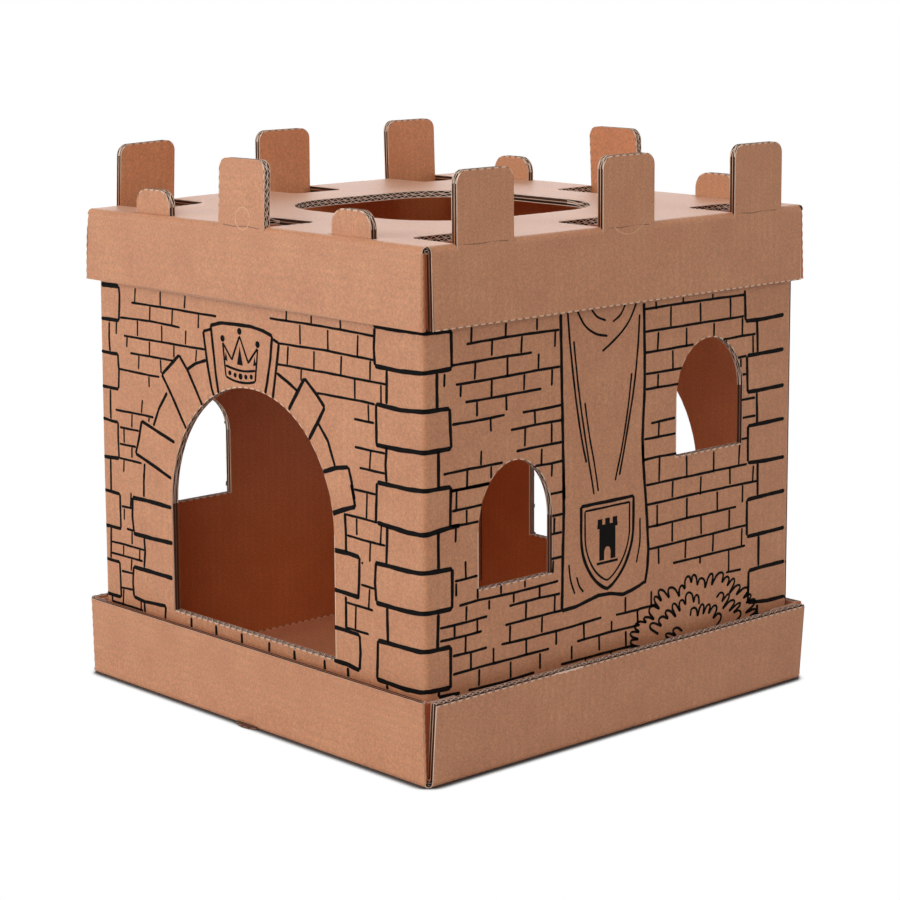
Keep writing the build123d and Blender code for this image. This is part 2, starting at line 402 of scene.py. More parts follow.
def makePiece(name, sheet, materials, node=None, smooth=35):
    # the collected surfaces as one mesh in metres, with the sheet's chart and the share of frayed rim
    points = np.concatenate(sheet["points"]) / metre
    quads = np.concatenate(sheet["quads"]).astype(np.int32)
    mesh = bpy.data.meshes.new(name)
    mesh.vertices.add(len(points))
    mesh.vertices.foreach_set("co", points.astype(np.float32).ravel())
    mesh.loops.add(quads.size)
    mesh.polygons.add(len(quads))
    mesh.polygons.foreach_set("loop_start", np.arange(0, quads.size, 4, dtype=np.int32))
    mesh.polygons.foreach_set("vertices", quads.ravel())
    mesh.polygons.foreach_set("material_index", np.concatenate(sheet["finish"]).astype(np.int32))
    mesh.polygons.foreach_set("use_smooth", np.ones(len(quads), bool))
    chart = mesh.uv_layers.new(name="sheet")
    chart.data.foreach_set("uv", np.concatenate(sheet["chart"])[quads.ravel()].astype(np.float32).ravel())
    rim = mesh.attributes.new("rim", "FLOAT", "POINT")
    rim.data.foreach_set("value", np.concatenate(sheet["rim"]).astype(np.float32))
    for material in materials:
        mesh.materials.append(material)
    mesh.update(calc_edges=True)
    mesh.validate()
    mesh.set_sharp_from_angle(angle=np.radians(smooth))
    piece = bpy.data.objects.new(name, mesh)
    bpy.context.scene.collection.objects.link(piece)
    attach(piece, "root")
    if node:
        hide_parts(node)
    print(name, len(quads) * 2, "triangles")


def takenOff(past, radius):
    # how much a rounded corner takes off, at the distance past beyond the start of its quarter circle
    return radius - np.sqrt(np.maximum(radius**2 - np.clip(past, 0, radius) ** 2, 0))


def noOpenings(s):
    # a panel with one row of cells, and no opening in it
    return np.zeros((1, len(s)), bool)


def smoothStep(share):
    # 0 to 1, level at both ends
    share = np.clip(share, 0, 1)
    return share * share * (3 - 2 * share)


settled = {
    "down": 3.0,
    "fromX": 60.0,  # it starts to sink here, and sinks more towards -X over the next length
    "overX": 285.0,
    "fromY": -80.0,  # likewise towards -Y
    "overY": 143.0,
    "low": 365.0,  # nothing sinks below this height, and everything does above the next
    "high": 415.0,
    "in": 3.0,  # the fold moves in beyond inX, by more and more over a height that starts at inLow
    "inX": -200.0,
    "inLow": 398.0,
    "inOver": 27.0,
}


def settle(sheet):
    # the roof's left front corner has been leaned on: it is lower there, and its fold rounder
    for k, (x, y, z) in enumerate(block.T for block in sheet["points"]):
        near = smoothStep((settled["fromY"] - y) / settled["overY"])
        down = settled["down"] * near * smoothStep((settled["fromX"] - x) / settled["overX"])
        upper = smoothStep((z - settled["low"]) / (settled["high"] - settled["low"]))
        rounder = (x < settled["inX"]) * smoothStep((z - settled["inLow"]) / settled["inOver"])
        inward = settled["in"] * near * rounder
        sheet["points"][k] = np.stack([x + inward, y, z - down * upper], -1)


# The length round the sleeve starts at the middle of the front wall and grows towards the banner wall.
sleeve = {
    "half": 216.0,
    "fold": 4.0,
    "mitre": 7.0,  # the inner papers close up over this length at each corner
    "low": 6.4,
    "high": 418.4,
    # an opening: width to the left and right of its crown, sill, crown, and the arch's rise on each side
    "door": (112.6, 105.8, 77.4, 287.4, 115.5, 106.5),
    "lowWindow": (39.9, 42.0, 146.4, 245.6, 52.0, 52.0),
    "highWindow": (40.3, 43.9, 221.9, 319.4, 47.0, 47.0),
    "windowMiddle": (-120.2, 108.9),
    "farLowWindow": (38.0, 38.0, 146.4, 242.9, 38.0, 38.0),
    "farHighWindow": (38.0, 38.0, 221.9, 318.4, 38.0, 38.0),
    "farWindowMiddle": 115.5,
    "tabOffset": 131.0,
    "tabHalf": 23.5,
    "tabRound": 14.0,
    "tabTop": 449.3,
    "tabDrop": (3.0, 3.0, 2.5, 2.5),  # each tab is pressed down by its own amount
    "joint": (-209.6, -190.0, -174.6),  # the glued joint inside the back wall
    "jointLow": 18.4,
    "jointHigh": 406.4,
}
sleeveFlat = 2 * (sleeve["half"] - sleeve["fold"])
sleeveTurn = sleeveFlat + sleeve["fold"] * np.pi / 2


def turned(x, y, quarters):
    # a place turned by quarters of a circle about the sleeve's upright middle line
    angle = quarters * np.pi / 2
    return x * np.cos(angle) - y * np.sin(angle), x * np.sin(angle) + y * np.cos(angle)


def roundSleeve(s, z, n):
    # a straight run, then a quarter circle about the fold, turned by a quarter for each wall
    wall = np.floor((s + sleeveFlat / 2) / sleeveTurn + 1e-9)
    run = s - wall * sleeveTurn
    bend = np.clip(run - sleeveFlat / 2, 0, sleeve["fold"] * np.pi / 2) / sleeve["fold"]
    x = np.minimum(run, sleeveFlat / 2) + (sleeve["fold"] - n) * np.sin(bend)
    y = -sleeveFlat / 2 - (sleeve["fold"] - n) * np.cos(bend)
    return (*turned(x, y, wall), z)


def sleeveWall(wall):
    # one flat wall, its two ends mitred with depth so that the four walls meet at the inner corners
    def place(s, z, n):
        run = s - wall * sleeveTurn
        past = np.maximum(np.abs(run) - (sleeveFlat / 2 - sleeve["mitre"]), 0)
        x = run + np.sign(run) * past / sleeve["mitre"] * (sleeve["fold"] - n)
        return (*turned(x, n - sleeve["half"], wall), z)
    return place


openings = [
    (-sleeveTurn - sleeve["farWindowMiddle"], *sleeve["farHighWindow"]),
    (-sleeveTurn + sleeve["farWindowMiddle"], *sleeve["farLowWindow"]),
    (0.0, *sleeve["door"]),
    (sleeveTurn + sleeve["windowMiddle"][0], *sleeve["lowWindow"]),
    (sleeveTurn + sleeve["windowMiddle"][1], *sleeve["highWindow"]),
    (2 * sleeveTurn, *sleeve["door"]),
]
openingEnds = np.array([[hole[0] - hole[1], hole[0] + hole[2]] for hole in openings]).ravel()
openingFeet = np.array([[hole[4] - hole[5], hole[4] - hole[6]] for hole in openings]).ravel()
tabMiddles = np.array([wall * sleeveTurn + end * sleeve["tabOffset"] for wall in (0, 2) for end in (-1, 1)])


def offTab(s):
    # the distance to the middle of the nearest tab
    return np.min(np.abs(s[..., None] - tabMiddles), axis=-1)


def sleeveRows(s):
    # foot, sill, arch, top edge and tab: an arch is a quarter ellipse on each side of its crown, and a
    # tab has round shoulders
    sill = np.interp(s, openingEnds, np.repeat([hole[3] for hole in openings], 2))
    arch = np.interp(s, openingEnds, openingFeet)
    for middle, left, right, foot, crownZ, riseLeft, riseRight in openings:
        share = (s - middle) / np.where(s < middle, left, right)
        drop = np.where(s < middle, riseLeft, riseRight) * (1 - np.sqrt(np.maximum(1 - share**2, 0)))
        arch = np.where(np.abs(share) < 1, crownZ - drop, arch)
    drop = np.array(sleeve["tabDrop"])[np.argmin(np.abs(s[..., None] - tabMiddles), axis=-1)]
    tab = sleeve["tabTop"] - drop - takenOff(
        offTab(s) - sleeve["tabHalf"] + sleeve["tabRound"], sleeve["tabRound"],
    )
    return np.stack([np.full_like(s, sleeve["low"]), sill, arch, np.full_like(s, sleeve["high"]), tab])


def inAnOpening(s):
    # whether an opening is cut at this length round the sleeve
    return np.searchsorted(openingEnds, s) % 2 == 1


def sleeveOpen(s):
    # the open cells between the rows: an opening from sill to arch, and all but the tabs at the top
    inHole = inAnOpening(s)
    shut = np.zeros_like(inHole)
    return np.stack([shut, inHole, shut, offTab(s) > sleeve["tabHalf"]])


quarter = np.linspace(0, np.pi / 2, 17)
holeBreaks = np.concatenate(
    [[hole[0] - hole[1] * np.cos(quarter), hole[0] + hole[2] * np.cos(quarter)] for hole in openings],
    axis=None,
)
tabShoulder = sleeve["tabHalf"] - sleeve["tabRound"] + sleeve["tabRound"] * np.sin(quarter[::2])
tabBreaks = np.concatenate([middle + sign * tabShoulder for middle in tabMiddles for sign in (-1, 1)])
sleeveSheet = newSheet()
walls = (-1, 0, 1, 2)
ringStart = -sleeveTurn - sleeveFlat / 2
foldRun = sleeve["fold"] * np.linspace(0, np.pi / 2, 7)
foldBreaks = np.concatenate([wall * sleeveTurn + sleeveFlat / 2 + foldRun for wall in walls])
ringBreaks = columns(ringStart, foldBreaks, holeBreaks, tabBreaks)
ringBreaks = ringBreaks - np.where(ringBreaks == ringBreaks[-1], 1e-4, 0)  # kept on the last wall's fold
addBoard(sleeveSheet, roundSleeve, ringBreaks, sleeveRows, sleeveOpen, 0.0, layers="o")
for wall in walls:
    ends = wall * sleeveTurn + np.array([-1, 1]) * sleeveFlat / 2
    mitres = (ends[0] + sleeve["mitre"], ends[1] - sleeve["mitre"])
    inWall = np.concatenate([holeBreaks, tabBreaks])
    inWall = inWall[(inWall > ends[0]) & (inWall < ends[1])]
    addBoard(
        sleeveSheet, sleeveWall(wall), columns(ends, *mitres, inWall), sleeveRows, sleeveOpen,
        waveStart["sleeve"] * wall, layers="miab",
    )


def straightRows(low, high):
    # two level edges, the same along the whole panel
    return lambda s: np.stack([np.full_like(s, low), np.full_like(s, high)])


jointIn = sleeve["half"] - board["thick"]
jointPlace = lambda s, z, n: (s, jointIn - board["flap"] * (1 - n / board["thick"]), z)
jointRows = straightRows(sleeve["jointLow"], sleeve["jointHigh"])
addBoard(
    sleeveSheet, jointPlace, np.array(sleeve["joint"]), jointRows, noOpenings, waveStart["joint"],
)
settle(sleeveSheet)
makePiece("wall_sleeve_sheet", sleeveSheet, sleeveLooks, node="wall_sleeve")

# The lid is folded down from its top panel. All its flutes run along X, so the top panel and the side
# skirts have their columns at Y, and the front and back skirts have theirs at a height.
lid = {
    "halfX": 224.8,
    "halfY": 223.0,
    "top": 424.8,
    "low": 359.8,
    "lean": 1.5,
    "fold": 5.0,
    "foldInner": (2.6, 3.0),  # depths of the inner paper that shows in a cut fold
    "overlap": 1.5,  # the side skirts' waves and middle paper reach this far above the panel's underside
    "sideEnd": 216.0,  # the side skirts stop short of the corner
    "merlonHalf": 30.0,
    "merlonRound": 10.0,
    "merlonRise": 57.0,
    "merlonStep": 159.5,
    "merlonOut": 200.0,  # all merlons stand further out than this
    "merlonSpare": 1.0,  # a merlon's bend takes in what lies this close beside it
    "hatchHalf": 112.0,
    "hatchRound": 70.0,
    "slotHalf": 24.7,
    "slotSpare": 4.0,  # the slots reach this much further towards -X than towards +X
    "slotIn": 208.4,
    "slotOut": 216.6,
}
# At each corner the front and back walls turn, and run back inside the side walls as glued flaps.
corner = {
    "fold": 1.6,
    "bendSteps": 7,
    "flapLength": 45.0,
    "flapBevel": 8.0,
    "flapStep": 1.5,
    "push": 3.0,  # the bend lies this much further out than the flap
    "lidSlant": 5.4,  # the length over which the sheet slants in from the bend to the flap
    "traySlant": 3.4,
    "slantSteps": (1.1, 2.3, 3.4, 5.4),
    "steps": 8,  # columns of faces to a wave
    "pillow": 0.22,  # the bend sinks between the flutes by up to twice this
    "pillowWide": 2.2,
}
bendLength = corner["fold"] * np.pi / 2
merlonRows = np.array([-1, 0, 1]) * lid["merlonStep"]
holeX, holeY = lid["halfX"] - lid["merlonRise"], lid["halfY"] - lid["merlonRise"]
skirtX, skirtY = lid["halfX"] - board["thick"], lid["halfY"] - board["thick"]
lidUnder = lid["top"] - board["thick"]
lidFoldZ = lid["top"] - lid["fold"]
merlonTop = lid["top"] + lid["merlonRise"]
roundStart = lid["merlonHalf"] - lid["merlonRound"]
merlonBreaks = roundStart + lid["merlonRound"] * np.sin(quarter[::2])


def offMerlon(s):
    # the distance to the middle of the nearest side merlon
    return np.min(np.abs(s[..., None] - merlonRows), axis=-1)


def lidLean(z):
    # the skirts lean out evenly, from nothing at the top to the whole lean at the foot
    return lid["lean"] * np.maximum(lid["top"] - z, 0) / (lid["top"] - lid["low"])


def topRows(y):
    # from one side to the other: fold, merlon hole, slot, hatch, and the hole of the front merlon
    far = np.abs(y)
    holeEnd = holeX + takenOff(offMerlon(y) - roundStart, lid["merlonRound"])
    hatch = lid["hatchHalf"] - takenOff(far - lid["hatchHalf"] + lid["hatchRound"], lid["hatchRound"])
    slotNear = sleeve["tabOffset"] - lid["slotHalf"] - lid["hatchHalf"] + lid["hatchRound"]
    outward = np.clip((far - lid["hatchHalf"]) / (lid["slotIn"] - lid["hatchHalf"]), 0, 1)
    inner = hatch + slotNear * outward
    frontHole = lid["merlonHalf"] - takenOff(holeY + lid["merlonRound"] - far, lid["merlonRound"])
    whole = np.ones_like(y)
    side = [
        whole * (lid["halfX"] - lid["fold"]), whole * skirtX, holeEnd,
        whole * (sleeve["tabOffset"] + lid["slotHalf"]), inner, frontHole,
    ]
    rows = np.stack([-row for row in side] + side[::-1])
    # the side of each slot that faces -X
    rows[3] -= lid["slotSpare"]
    rows[7] -= lid["slotSpare"] * outward
    return rows


def topOpen(y):
    # the open cells between those rows, the same from both sides
    far = np.abs(y)
    atMerlon = offMerlon(y) < lid["merlonHalf"]
    slots = (far > lid["slotIn"]) & (far < lid["slotOut"])
    hatch = far < lid["hatchHalf"]
    side = [atMerlon, atMerlon, np.zeros_like(hatch), slots, hatch]
    return np.stack(side + [hatch | (far > holeY)] + side[::-1])


lidSheet = newSheet()
hatchBreaks = lid["hatchHalf"] - lid["hatchRound"] + lid["hatchRound"] * np.sin(quarter)
holeRound = holeY + lid["merlonRound"] * (1 - np.cos(quarter[::2]))
halfBreaks = np.concatenate(
    [hatchBreaks, holeRound, [lid["slotIn"], lid["slotOut"], lid["halfY"] - lid["fold"]]]
)
sideBreaks = np.concatenate([row + sign * merlonBreaks for row in merlonRows for sign in (-1, 1)])
topBreaks = columns(-halfBreaks, halfBreaks, sideBreaks)


def sideSkirt(side):
    # a skirt that faces X, its flutes upright
    return lambda s, t, n: (side * (lid["halfX"] - n + lidLean(t)), s, t)


def endSkirt(side):
    # a skirt that faces Y, its flutes level
    return lambda s, t, n: (t, side * (lid["halfY"] - n + lidLean(s)), s)


def sideRows(s, foldZ):
    # a side skirt's foot, its fold, and the tops of its merlons with round shoulders
    top = merlonTop - takenOff(offMerlon(s) - roundStart, lid["merlonRound"])
    return np.stack([np.full_like(s, lid["low"]), np.full_like(s, foldZ), top])


def sideOpen(s):
    # above the fold only the merlons stand
    return np.stack([np.zeros(len(s), bool), offMerlon(s) > lid["merlonHalf"]])


def endRows(z, reach):
    # an end skirt's side edges, and between them its merlon's with round shoulders
    wide = lid["merlonHalf"] - takenOff(z - merlonTop + lid["merlonRound"], lid["merlonRound"])
    full = np.full_like(z, skirtX - corner["fold"] + reach)
    return np.stack([-full, -wide, wide, full])


def endOpen(z, foldZ):
    # above the fold only the merlon in the middle stands
    above = z > foldZ
    return np.stack([above, np.zeros_like(above), above])


def foldOver(side, panel, foldZ, radius, axis, over=1):
    # a quarter circle from a level panel to its wall, its length measured along the fold's outside: over
    # is 1 where the panel lies above the wall, and -1 where it lies below
    def place(s, t, n):
        turn, run = (t, s) if axis == "X" else (s, t)
        turn = turn / radius
        out = side * (panel + (radius - n) * np.sin(turn))
        z = foldZ + over * (radius - n) * np.cos(turn)
        return (out, run, z) if axis == "X" else (run, out, z)
    return place


def addFold(sheet, place, across, along, filled):
    # a fold's outer paper, the only one that shows where nothing cuts it
    addSlab(
        sheet, place, across, along, filled, 0.0, board["liner"], "liner", "fluting", "cut",
        joined=atFold,
    )


sideEnds = np.array([-lid["sideEnd"], lid["sideEnd"]])
arcSteps = np.linspace(0, lid["fold"] * np.pi / 2, 7)
betweenMerlons = columns(sideEnds, merlonRows - lid["merlonHalf"], merlonRows + lid["merlonHalf"])
# Within these distances of a fold's line a paper goes on into the fold, and its rim isn't frayed.
join = {
    "topX": 3.0,
    "topY": 1.0,
    "skirt": 8.0,
    "merlon": 0.1,  # a fold ends this much inside a merlon's edge
    "tray": 12.0,
    "bend": 2.0,
}
atFold = lambda s, t: np.ones(s.shape, bool)
topJoin = lambda s, t: (np.abs(t) > skirtX - join["topX"]) | (np.abs(s) > skirtY - join["topY"])


def sideJoin(s, t):
    # along the fold of a side skirt, between its merlons
    return (np.abs(t - lidFoldZ) < join["skirt"]) & (offMerlon(s) > lid["merlonHalf"] - join["merlon"])


def endJoin(s, t):
    # along the fold of an end skirt beside its merlon, and where it turns the corners
    folded = (np.abs(s - lidFoldZ) < join["skirt"]) & (np.abs(t) > lid["merlonHalf"] - join["merlon"])
    return folded | (np.abs(t) > skirtX - join["skirt"])


topPlace = lambda s, t, n: (t, s, lid["top"] - n)
addBoard(lidSheet, topPlace, topBreaks, topRows, topOpen, waveStart["lidTop"], joined=topJoin)
for side in (-1, 1):
    for layers, foldZ in (("o", lidFoldZ), ("mab", lidUnder + lid["overlap"]), ("i", lidUnder)):
        addBoard(
            lidSheet, sideSkirt(side), columns(sideEnds, sideBreaks), lambda s: sideRows(s, foldZ),
            sideOpen, waveStart["lidSide"] + side, layers=layers, joined=sideJoin,
        )
    fold = foldOver(side, lid["halfX"] - lid["fold"], lidFoldZ, lid["fold"], "X")
    rows = np.repeat(arcSteps[:, None], len(betweenMerlons), axis=1)
    bare = offMerlon(0.5 * (betweenMerlons[1:] + betweenMerlons[:-1])) >= lid["merlonHalf"]
    filled = np.repeat(bare[None, :], len(arcSteps) - 1, axis=0)
    addFold(lidSheet, fold, betweenMerlons, rows, filled)
    addSlab(lidSheet, fold, betweenMerlons, rows, filled, *lid["foldInner"], "fluting", "fluting", "cut")
    shoulder = merlonTop - lid["merlonRound"] + lid["merlonRound"] * np.sin(quarter[::2])
    heights = columns(lid["low"], lidUnder, lidFoldZ, merlonTop, shoulder)
    for layers, foldZ, reach in (("o", lidFoldZ, corner["push"]), ("miab", lidUnder, 0.0)):
        addBoard(
            lidSheet, endSkirt(side), heights, lambda z: endRows(z, reach), lambda z: endOpen(z, foldZ),
            waveStart["lidEnd"] + side, layers=layers, joined=endJoin,
        )
    fold = foldOver(side, lid["halfY"] - lid["fold"], lidFoldZ, lid["fold"], "Y")
    outermost = skirtX + corner["push"]
    wide = np.array([-outermost, -lid["merlonHalf"], lid["merlonHalf"], outermost])
    rows = np.repeat(wide[:, None], len(arcSteps), axis=1)
    filled = np.repeat(np.array([[True], [False], [True]]), len(arcSteps) - 1, axis=1)
    addFold(lidSheet, fold, arcSteps, rows, filled)
    addSlab(lidSheet, fold, arcSteps, rows, filled, *lid["foldInner"], "fluting", "fluting", "cut")

# The base tray is folded up from its floor, with its flutes along X as on the lid.
tray = {
    "halfX": 227.7,
    "halfY": 225.9,
    "top": 69.0,
    "leanX": 5.0,
    "leanY": 1.5,
    "fold": 4.0,
    "overlap": 1.0,  # the side walls' waves and middle paper start this far below the floor's face
    "rimLow": 1.5,  # on the side walls' rims the outer paper ends this much lower than the waves
    "sideEnd": 220.9,
    "lipHalf": 13.5,  # the half-moon lip in the front fold
    "lipReach": 4.5,
    "lipInner": (1.3, 2.0),  # depths of the lip's inner paper
}
traySheet = newSheet()
trayPanelX, trayPanelY = tray["halfX"] - tray["fold"], tray["halfY"] - tray["fold"]
trayWallX = tray["halfX"] - board["thick"]
floorPlace = lambda s, t, n: (t, s, n)
floorBreaks = columns(-trayPanelY, 0.0, trayPanelY)
floorRows = straightRows(-trayPanelX, trayPanelX)
addBoard(
    traySheet, floorPlace, floorBreaks, floorRows, noOpenings, waveStart["trayFloor"], joined=atFold,
)
trayArc = tray["fold"] * np.pi / 2 * np.linspace(0, 1, 7)
traySideEnds = np.array([-tray["sideEnd"], 0.0, tray["sideEnd"]])
traySideJoin = lambda s, t: t < join["tray"]
trayEndJoin = lambda s, t: (s < join["tray"]) | (np.abs(t) > trayWallX - join["skirt"])
for side in (-1, 1):
    wallPlace = lambda s, t, n: (side * (tray["halfX"] - n + tray["leanX"] * t / tray["top"]), s, t)
    for layers, low, high in (
        ("o", tray["fold"], tray["top"] - tray["rimLow"]),
        ("mab", board["thick"] - tray["overlap"], tray["top"]),
        ("i", board["thick"], tray["top"]),
    ):
        addBoard(
            traySheet, wallPlace, traySideEnds, straightRows(low, high), noOpenings,
            waveStart["traySide"] + side, layers=layers, joined=traySideJoin,
        )
    rows = np.repeat(trayArc[:, None], len(traySideEnds), axis=1)
    filled = np.ones((len(trayArc) - 1, len(traySideEnds) - 1), bool)
    fold = foldOver(side, trayPanelX, tray["fold"], tray["fold"], "X", over=-1)
    addFold(traySheet, fold, traySideEnds, rows, filled)
    endPlace = lambda s, t, n: (t, side * (tray["halfY"] - n + tray["leanY"] * s / tray["top"]), s)
    for layers, reach in (("o", corner["push"]), ("miab", 0.0)):
        full = trayWallX - corner["fold"] + reach
        addBoard(
            traySheet, endPlace, columns(tray["fold"], board["thick"], tray["top"]),
            straightRows(-full, full), noOpenings, waveStart["trayEnd"] + side, layers=layers,
            joined=trayEndJoin,
        )
    outermost = trayWallX + corner["push"]
    rows = np.repeat(np.array([[-outermost], [outermost]]), len(trayArc), axis=1)
    filled = np.ones((1, len(trayArc) - 1), bool)
    fold = foldOver(side, trayPanelY, tray["fold"], tray["fold"], "Y", over=-1)
    addFold(traySheet, fold, trayArc, rows, filled)


def turnCorner(side, end, outX, outY, leanX, leanY, slant):
    # the front or back wall's sheet turns a quarter circle, slants in over the length slant, then runs back
    # inside the side wall as its glued flap: s is the height here and t the length round the corner,
    # and the bend is pillowed between the flutes that it crushes
    def place(s, t, n):
        bend = np.clip(t, 0, bendLength) / corner["fold"]
        past = np.maximum(t - bendLength, 0)
        pillow = corner["pillow"] * (1 + np.cos(2 * np.pi * s / board["pitch"]))
        pillow = pillow * np.exp(-(((t - bendLength / 2) / corner["pillowWide"]) ** 2))
        radius = corner["fold"] - n - pillow
        pushed = outX + corner["push"] * (1 - smoothStep(past / slant)) - corner["fold"]
        x = pushed + radius * np.sin(bend) + leanX(s) * np.sin(bend)
        y = outY + leanY(s) - corner["fold"] + radius * np.cos(bend) - past
        return side * x, end * y, s
    return place


def addCorner(sheet, place, low, high, flapLow, flapHigh, bevelSide):
    # rows: the steps of the bend, those of the slant, and the flap's bevelled end
    heights = columns(np.arange(low, high, board["pitch"] / corner["steps"]), flapLow, flapHigh, high)
    bevelFrom = flapLow if bevelSide > 0 else flapHigh
    bevel = np.clip(corner["flapBevel"] - bevelSide * (heights - bevelFrom), 0, corner["flapBevel"])
    reach = bendLength + corner["flapLength"] - corner["fold"] - bevel
    bendSteps = np.linspace(0, bendLength, corner["bendSteps"])
    steps = np.append(bendSteps, bendLength + np.array(corner["slantSteps"]))
    rows = np.concatenate([np.repeat(steps[:, None], len(heights), axis=1), reach[None, :]])
    middles = 0.5 * (heights[1:] + heights[:-1])
    filled = np.ones((len(rows) - 1, len(middles)), bool)
    filled[-1] = (middles > flapLow) & (middles < flapHigh)
    onBend = np.arange(len(rows) - 1)[:, None] < corner["bendSteps"] - 1
    addSlab(
        sheet, place, heights, rows, filled & onBend, 0.0, board["liner"], "liner", "fluting", "cut",
        joined=lambda s, t: t < join["bend"],
    )
    # past the bend the flap takes the bounce-tint colour: painted bounce light in the shaded corner strip
    addSlab(
        sheet, place, heights, rows, filled & ~onBend, 0.0, board["liner"], "creased", "fluting", "cut",
        joined=atFold,
    )
    addSlab(
        sheet, place, heights, rows, filled, board["flap"] - board["liner"], board["flap"], "fluting",
        "inside", "cut",
    )


# The merlons that have sunk or lean: on the wall facing X or Y, on which side, how many steps along it,
# how much lower than the tallest, and how far the top leans inwards.
merlonBends = [
    ("X", -1, -1, 3.2, 3.0), ("X", -1, 0, 2.4, 0.0), ("X", -1, 1, 1.5, -2.0),
    ("X", 1, -1, 1.0, 0.0), ("Y", -1, 0, 3.0, 2.0), ("Y", 1, 0, 1.0, 3.0),
]


def bendMerlons(sheet):
    # from the fold up, each merlon sinks and leans in proportion to the height on it
    for k, (x, y, z) in enumerate(block.T for block in sheet["points"]):
        above = np.maximum(z - lid["top"], 0) / lid["merlonRise"]
        for axis, side, step, lower, lean in merlonBends:
            out, along = (x, y) if axis == "X" else (y, x)
            beside = np.abs(along - step * lid["merlonStep"]) < lid["merlonHalf"] + lid["merlonSpare"]
            here = (above > 0) & (side * out > lid["merlonOut"]) & beside
            z = z - np.where(here, lower * above, 0)
            out = out - np.where(here, side * lean * above, 0)
            x, y = (out, y) if axis == "X" else (x, out)
        sheet["points"][k] = np.stack([x, y, z], -1)


# a stretch of the side wall's rim has lost its brown skin and shows white fibres
torn = {
    "from": -92.0,
    "to": -58.0,
    "step": 0.8,
    "deep": 2.4,  # how far down the skin is gone in the middle of the stretch
    "ragged": (0.45, 1.0),  # shares of that depth, drawn at random
    "edge": 0.1,
    "under": 0.9,  # how far below the rim it starts
    "proud": 0.04,
    "thick": 0.1,
}
tornColumns = np.arange(torn["from"], torn["to"], torn["step"])
tornShare = (tornColumns - torn["from"]) / (torn["to"] - torn["from"])
tornRagged = dice.uniform(*torn["ragged"], len(tornColumns))
tornDeep = torn["deep"] * np.sin(np.pi * tornShare) ** 0.5 * tornRagged + torn["edge"]
tornPlace = lambda s, t, n: (tray["halfX"] - n + tray["leanX"] * t / tray["top"], s, t)
tornRows = np.stack([tray["top"] - tornDeep, np.full_like(tornColumns, tray["top"])]) - torn["under"]
addSlab(
    traySheet, tornPlace, tornColumns, tornRows, np.ones((1, len(tornColumns) - 1), bool),
    -torn["proud"], torn["thick"], "cut", "cut", "cut",
)

upright = lambda z: 0 * z
trayLean = lambda z: tray["leanY"] * z / tray["top"]
for side in (-1, 1):
    for end in (-1, 1):
        lidTurn = turnCorner(side, end, skirtX, lid["halfY"], lidLean, lidLean, corner["lidSlant"])
        addCorner(lidSheet, lidTurn, lid["low"], lidFoldZ, lid["low"] + corner["flapStep"], lidUnder, 1)
        trayTurn = turnCorner(
            side, end, trayWallX, tray["halfY"], upright, trayLean, corner["traySlant"],
        )
        addCorner(
            traySheet, trayTurn, tray["fold"], tray["top"], board["thick"],
            tray["top"] - corner["flapStep"], -1,
        )

# The lip is a half-moon left on the front wall's foot, with s along the wall and t outwards.
lipRadius = (tray["lipHalf"] ** 2 + tray["lipReach"] ** 2) / (2 * tray["lipReach"])
lipColumns = tray["lipHalf"] * np.sin(np.linspace(-np.pi / 2, np.pi / 2, 25))
lipOut = tray["halfY"] + tray["lipReach"] - lipRadius + np.sqrt(lipRadius**2 - lipColumns**2)
lipRows = np.stack([np.full_like(lipColumns, tray["halfY"] - tray["fold"]), lipOut])
lipPlace = lambda s, t, n: (s, -t, n)
lipFilled = np.ones((1, len(lipColumns) - 1), bool)
# the lip takes the bounce-tint colour too: painted bounce light in the shade at the wall's foot
addSlab(
    traySheet, lipPlace, lipColumns, lipRows, lipFilled, 0.0, board["liner"], "creased", "creased",
    "fluting",
)
addSlab(
    traySheet, lipPlace, lipColumns, lipRows, lipFilled, *tray["lipInner"], "creased", "fluting",
    "fluting",
)
bendMerlons(lidSheet)
settle(lidSheet)
makePiece("roof_lid_sheet", lidSheet, boardLooks, node="roof_lid")
makePiece("base_tray_sheet", traySheet, boardLooks, node="base_tray")


def blackInk():
    # water-based flexo ink soaked into kraft: near black, matt, thin where the plate printed light
    material, tree = newMaterial("flexo_ink_printed")
    place = addNode(tree, "ShaderNodeTexCoord").outputs["Object"]
    cloud = addNode(
        tree, "ShaderNodeTexNoise",
        {"Vector": place, "Scale": metre / grains["ink"], "Detail": 4.0, "Roughness": 0.65},
    )
    thin = addNode(
        tree, "ShaderNodeMapRange",
        {"Value": cloud.outputs[0], "From Min": 0.52, "From Max": 0.80, "To Max": 0.5},
    )
    base = blendColours(tree, thin.outputs[0], linearColour("#060403"), linearColour("#17100C"))
    dull = addNode(tree, "ShaderNodeMapRange", {"Value": cloud.outputs[0], "To Min": 0.65, "To Max": 0.85})
    bump = addNode(
        tree, "ShaderNodeBump", {"Height": cloud.outputs[0], "Strength": 0.3, "Distance": 0.0001},
    )
    shader = addNode(
        tree, "ShaderNodeBsdfPrincipled",
        {
            "Base Color": base, "Roughness": dull.outputs[0], "Normal": bump.outputs[0], "IOR": 1.5,
            "Specular IOR Level": 0.08,
        },
    )
    addNode(tree, "ShaderNodeOutputMaterial", {"Surface": shader.outputs[0]})
    return material


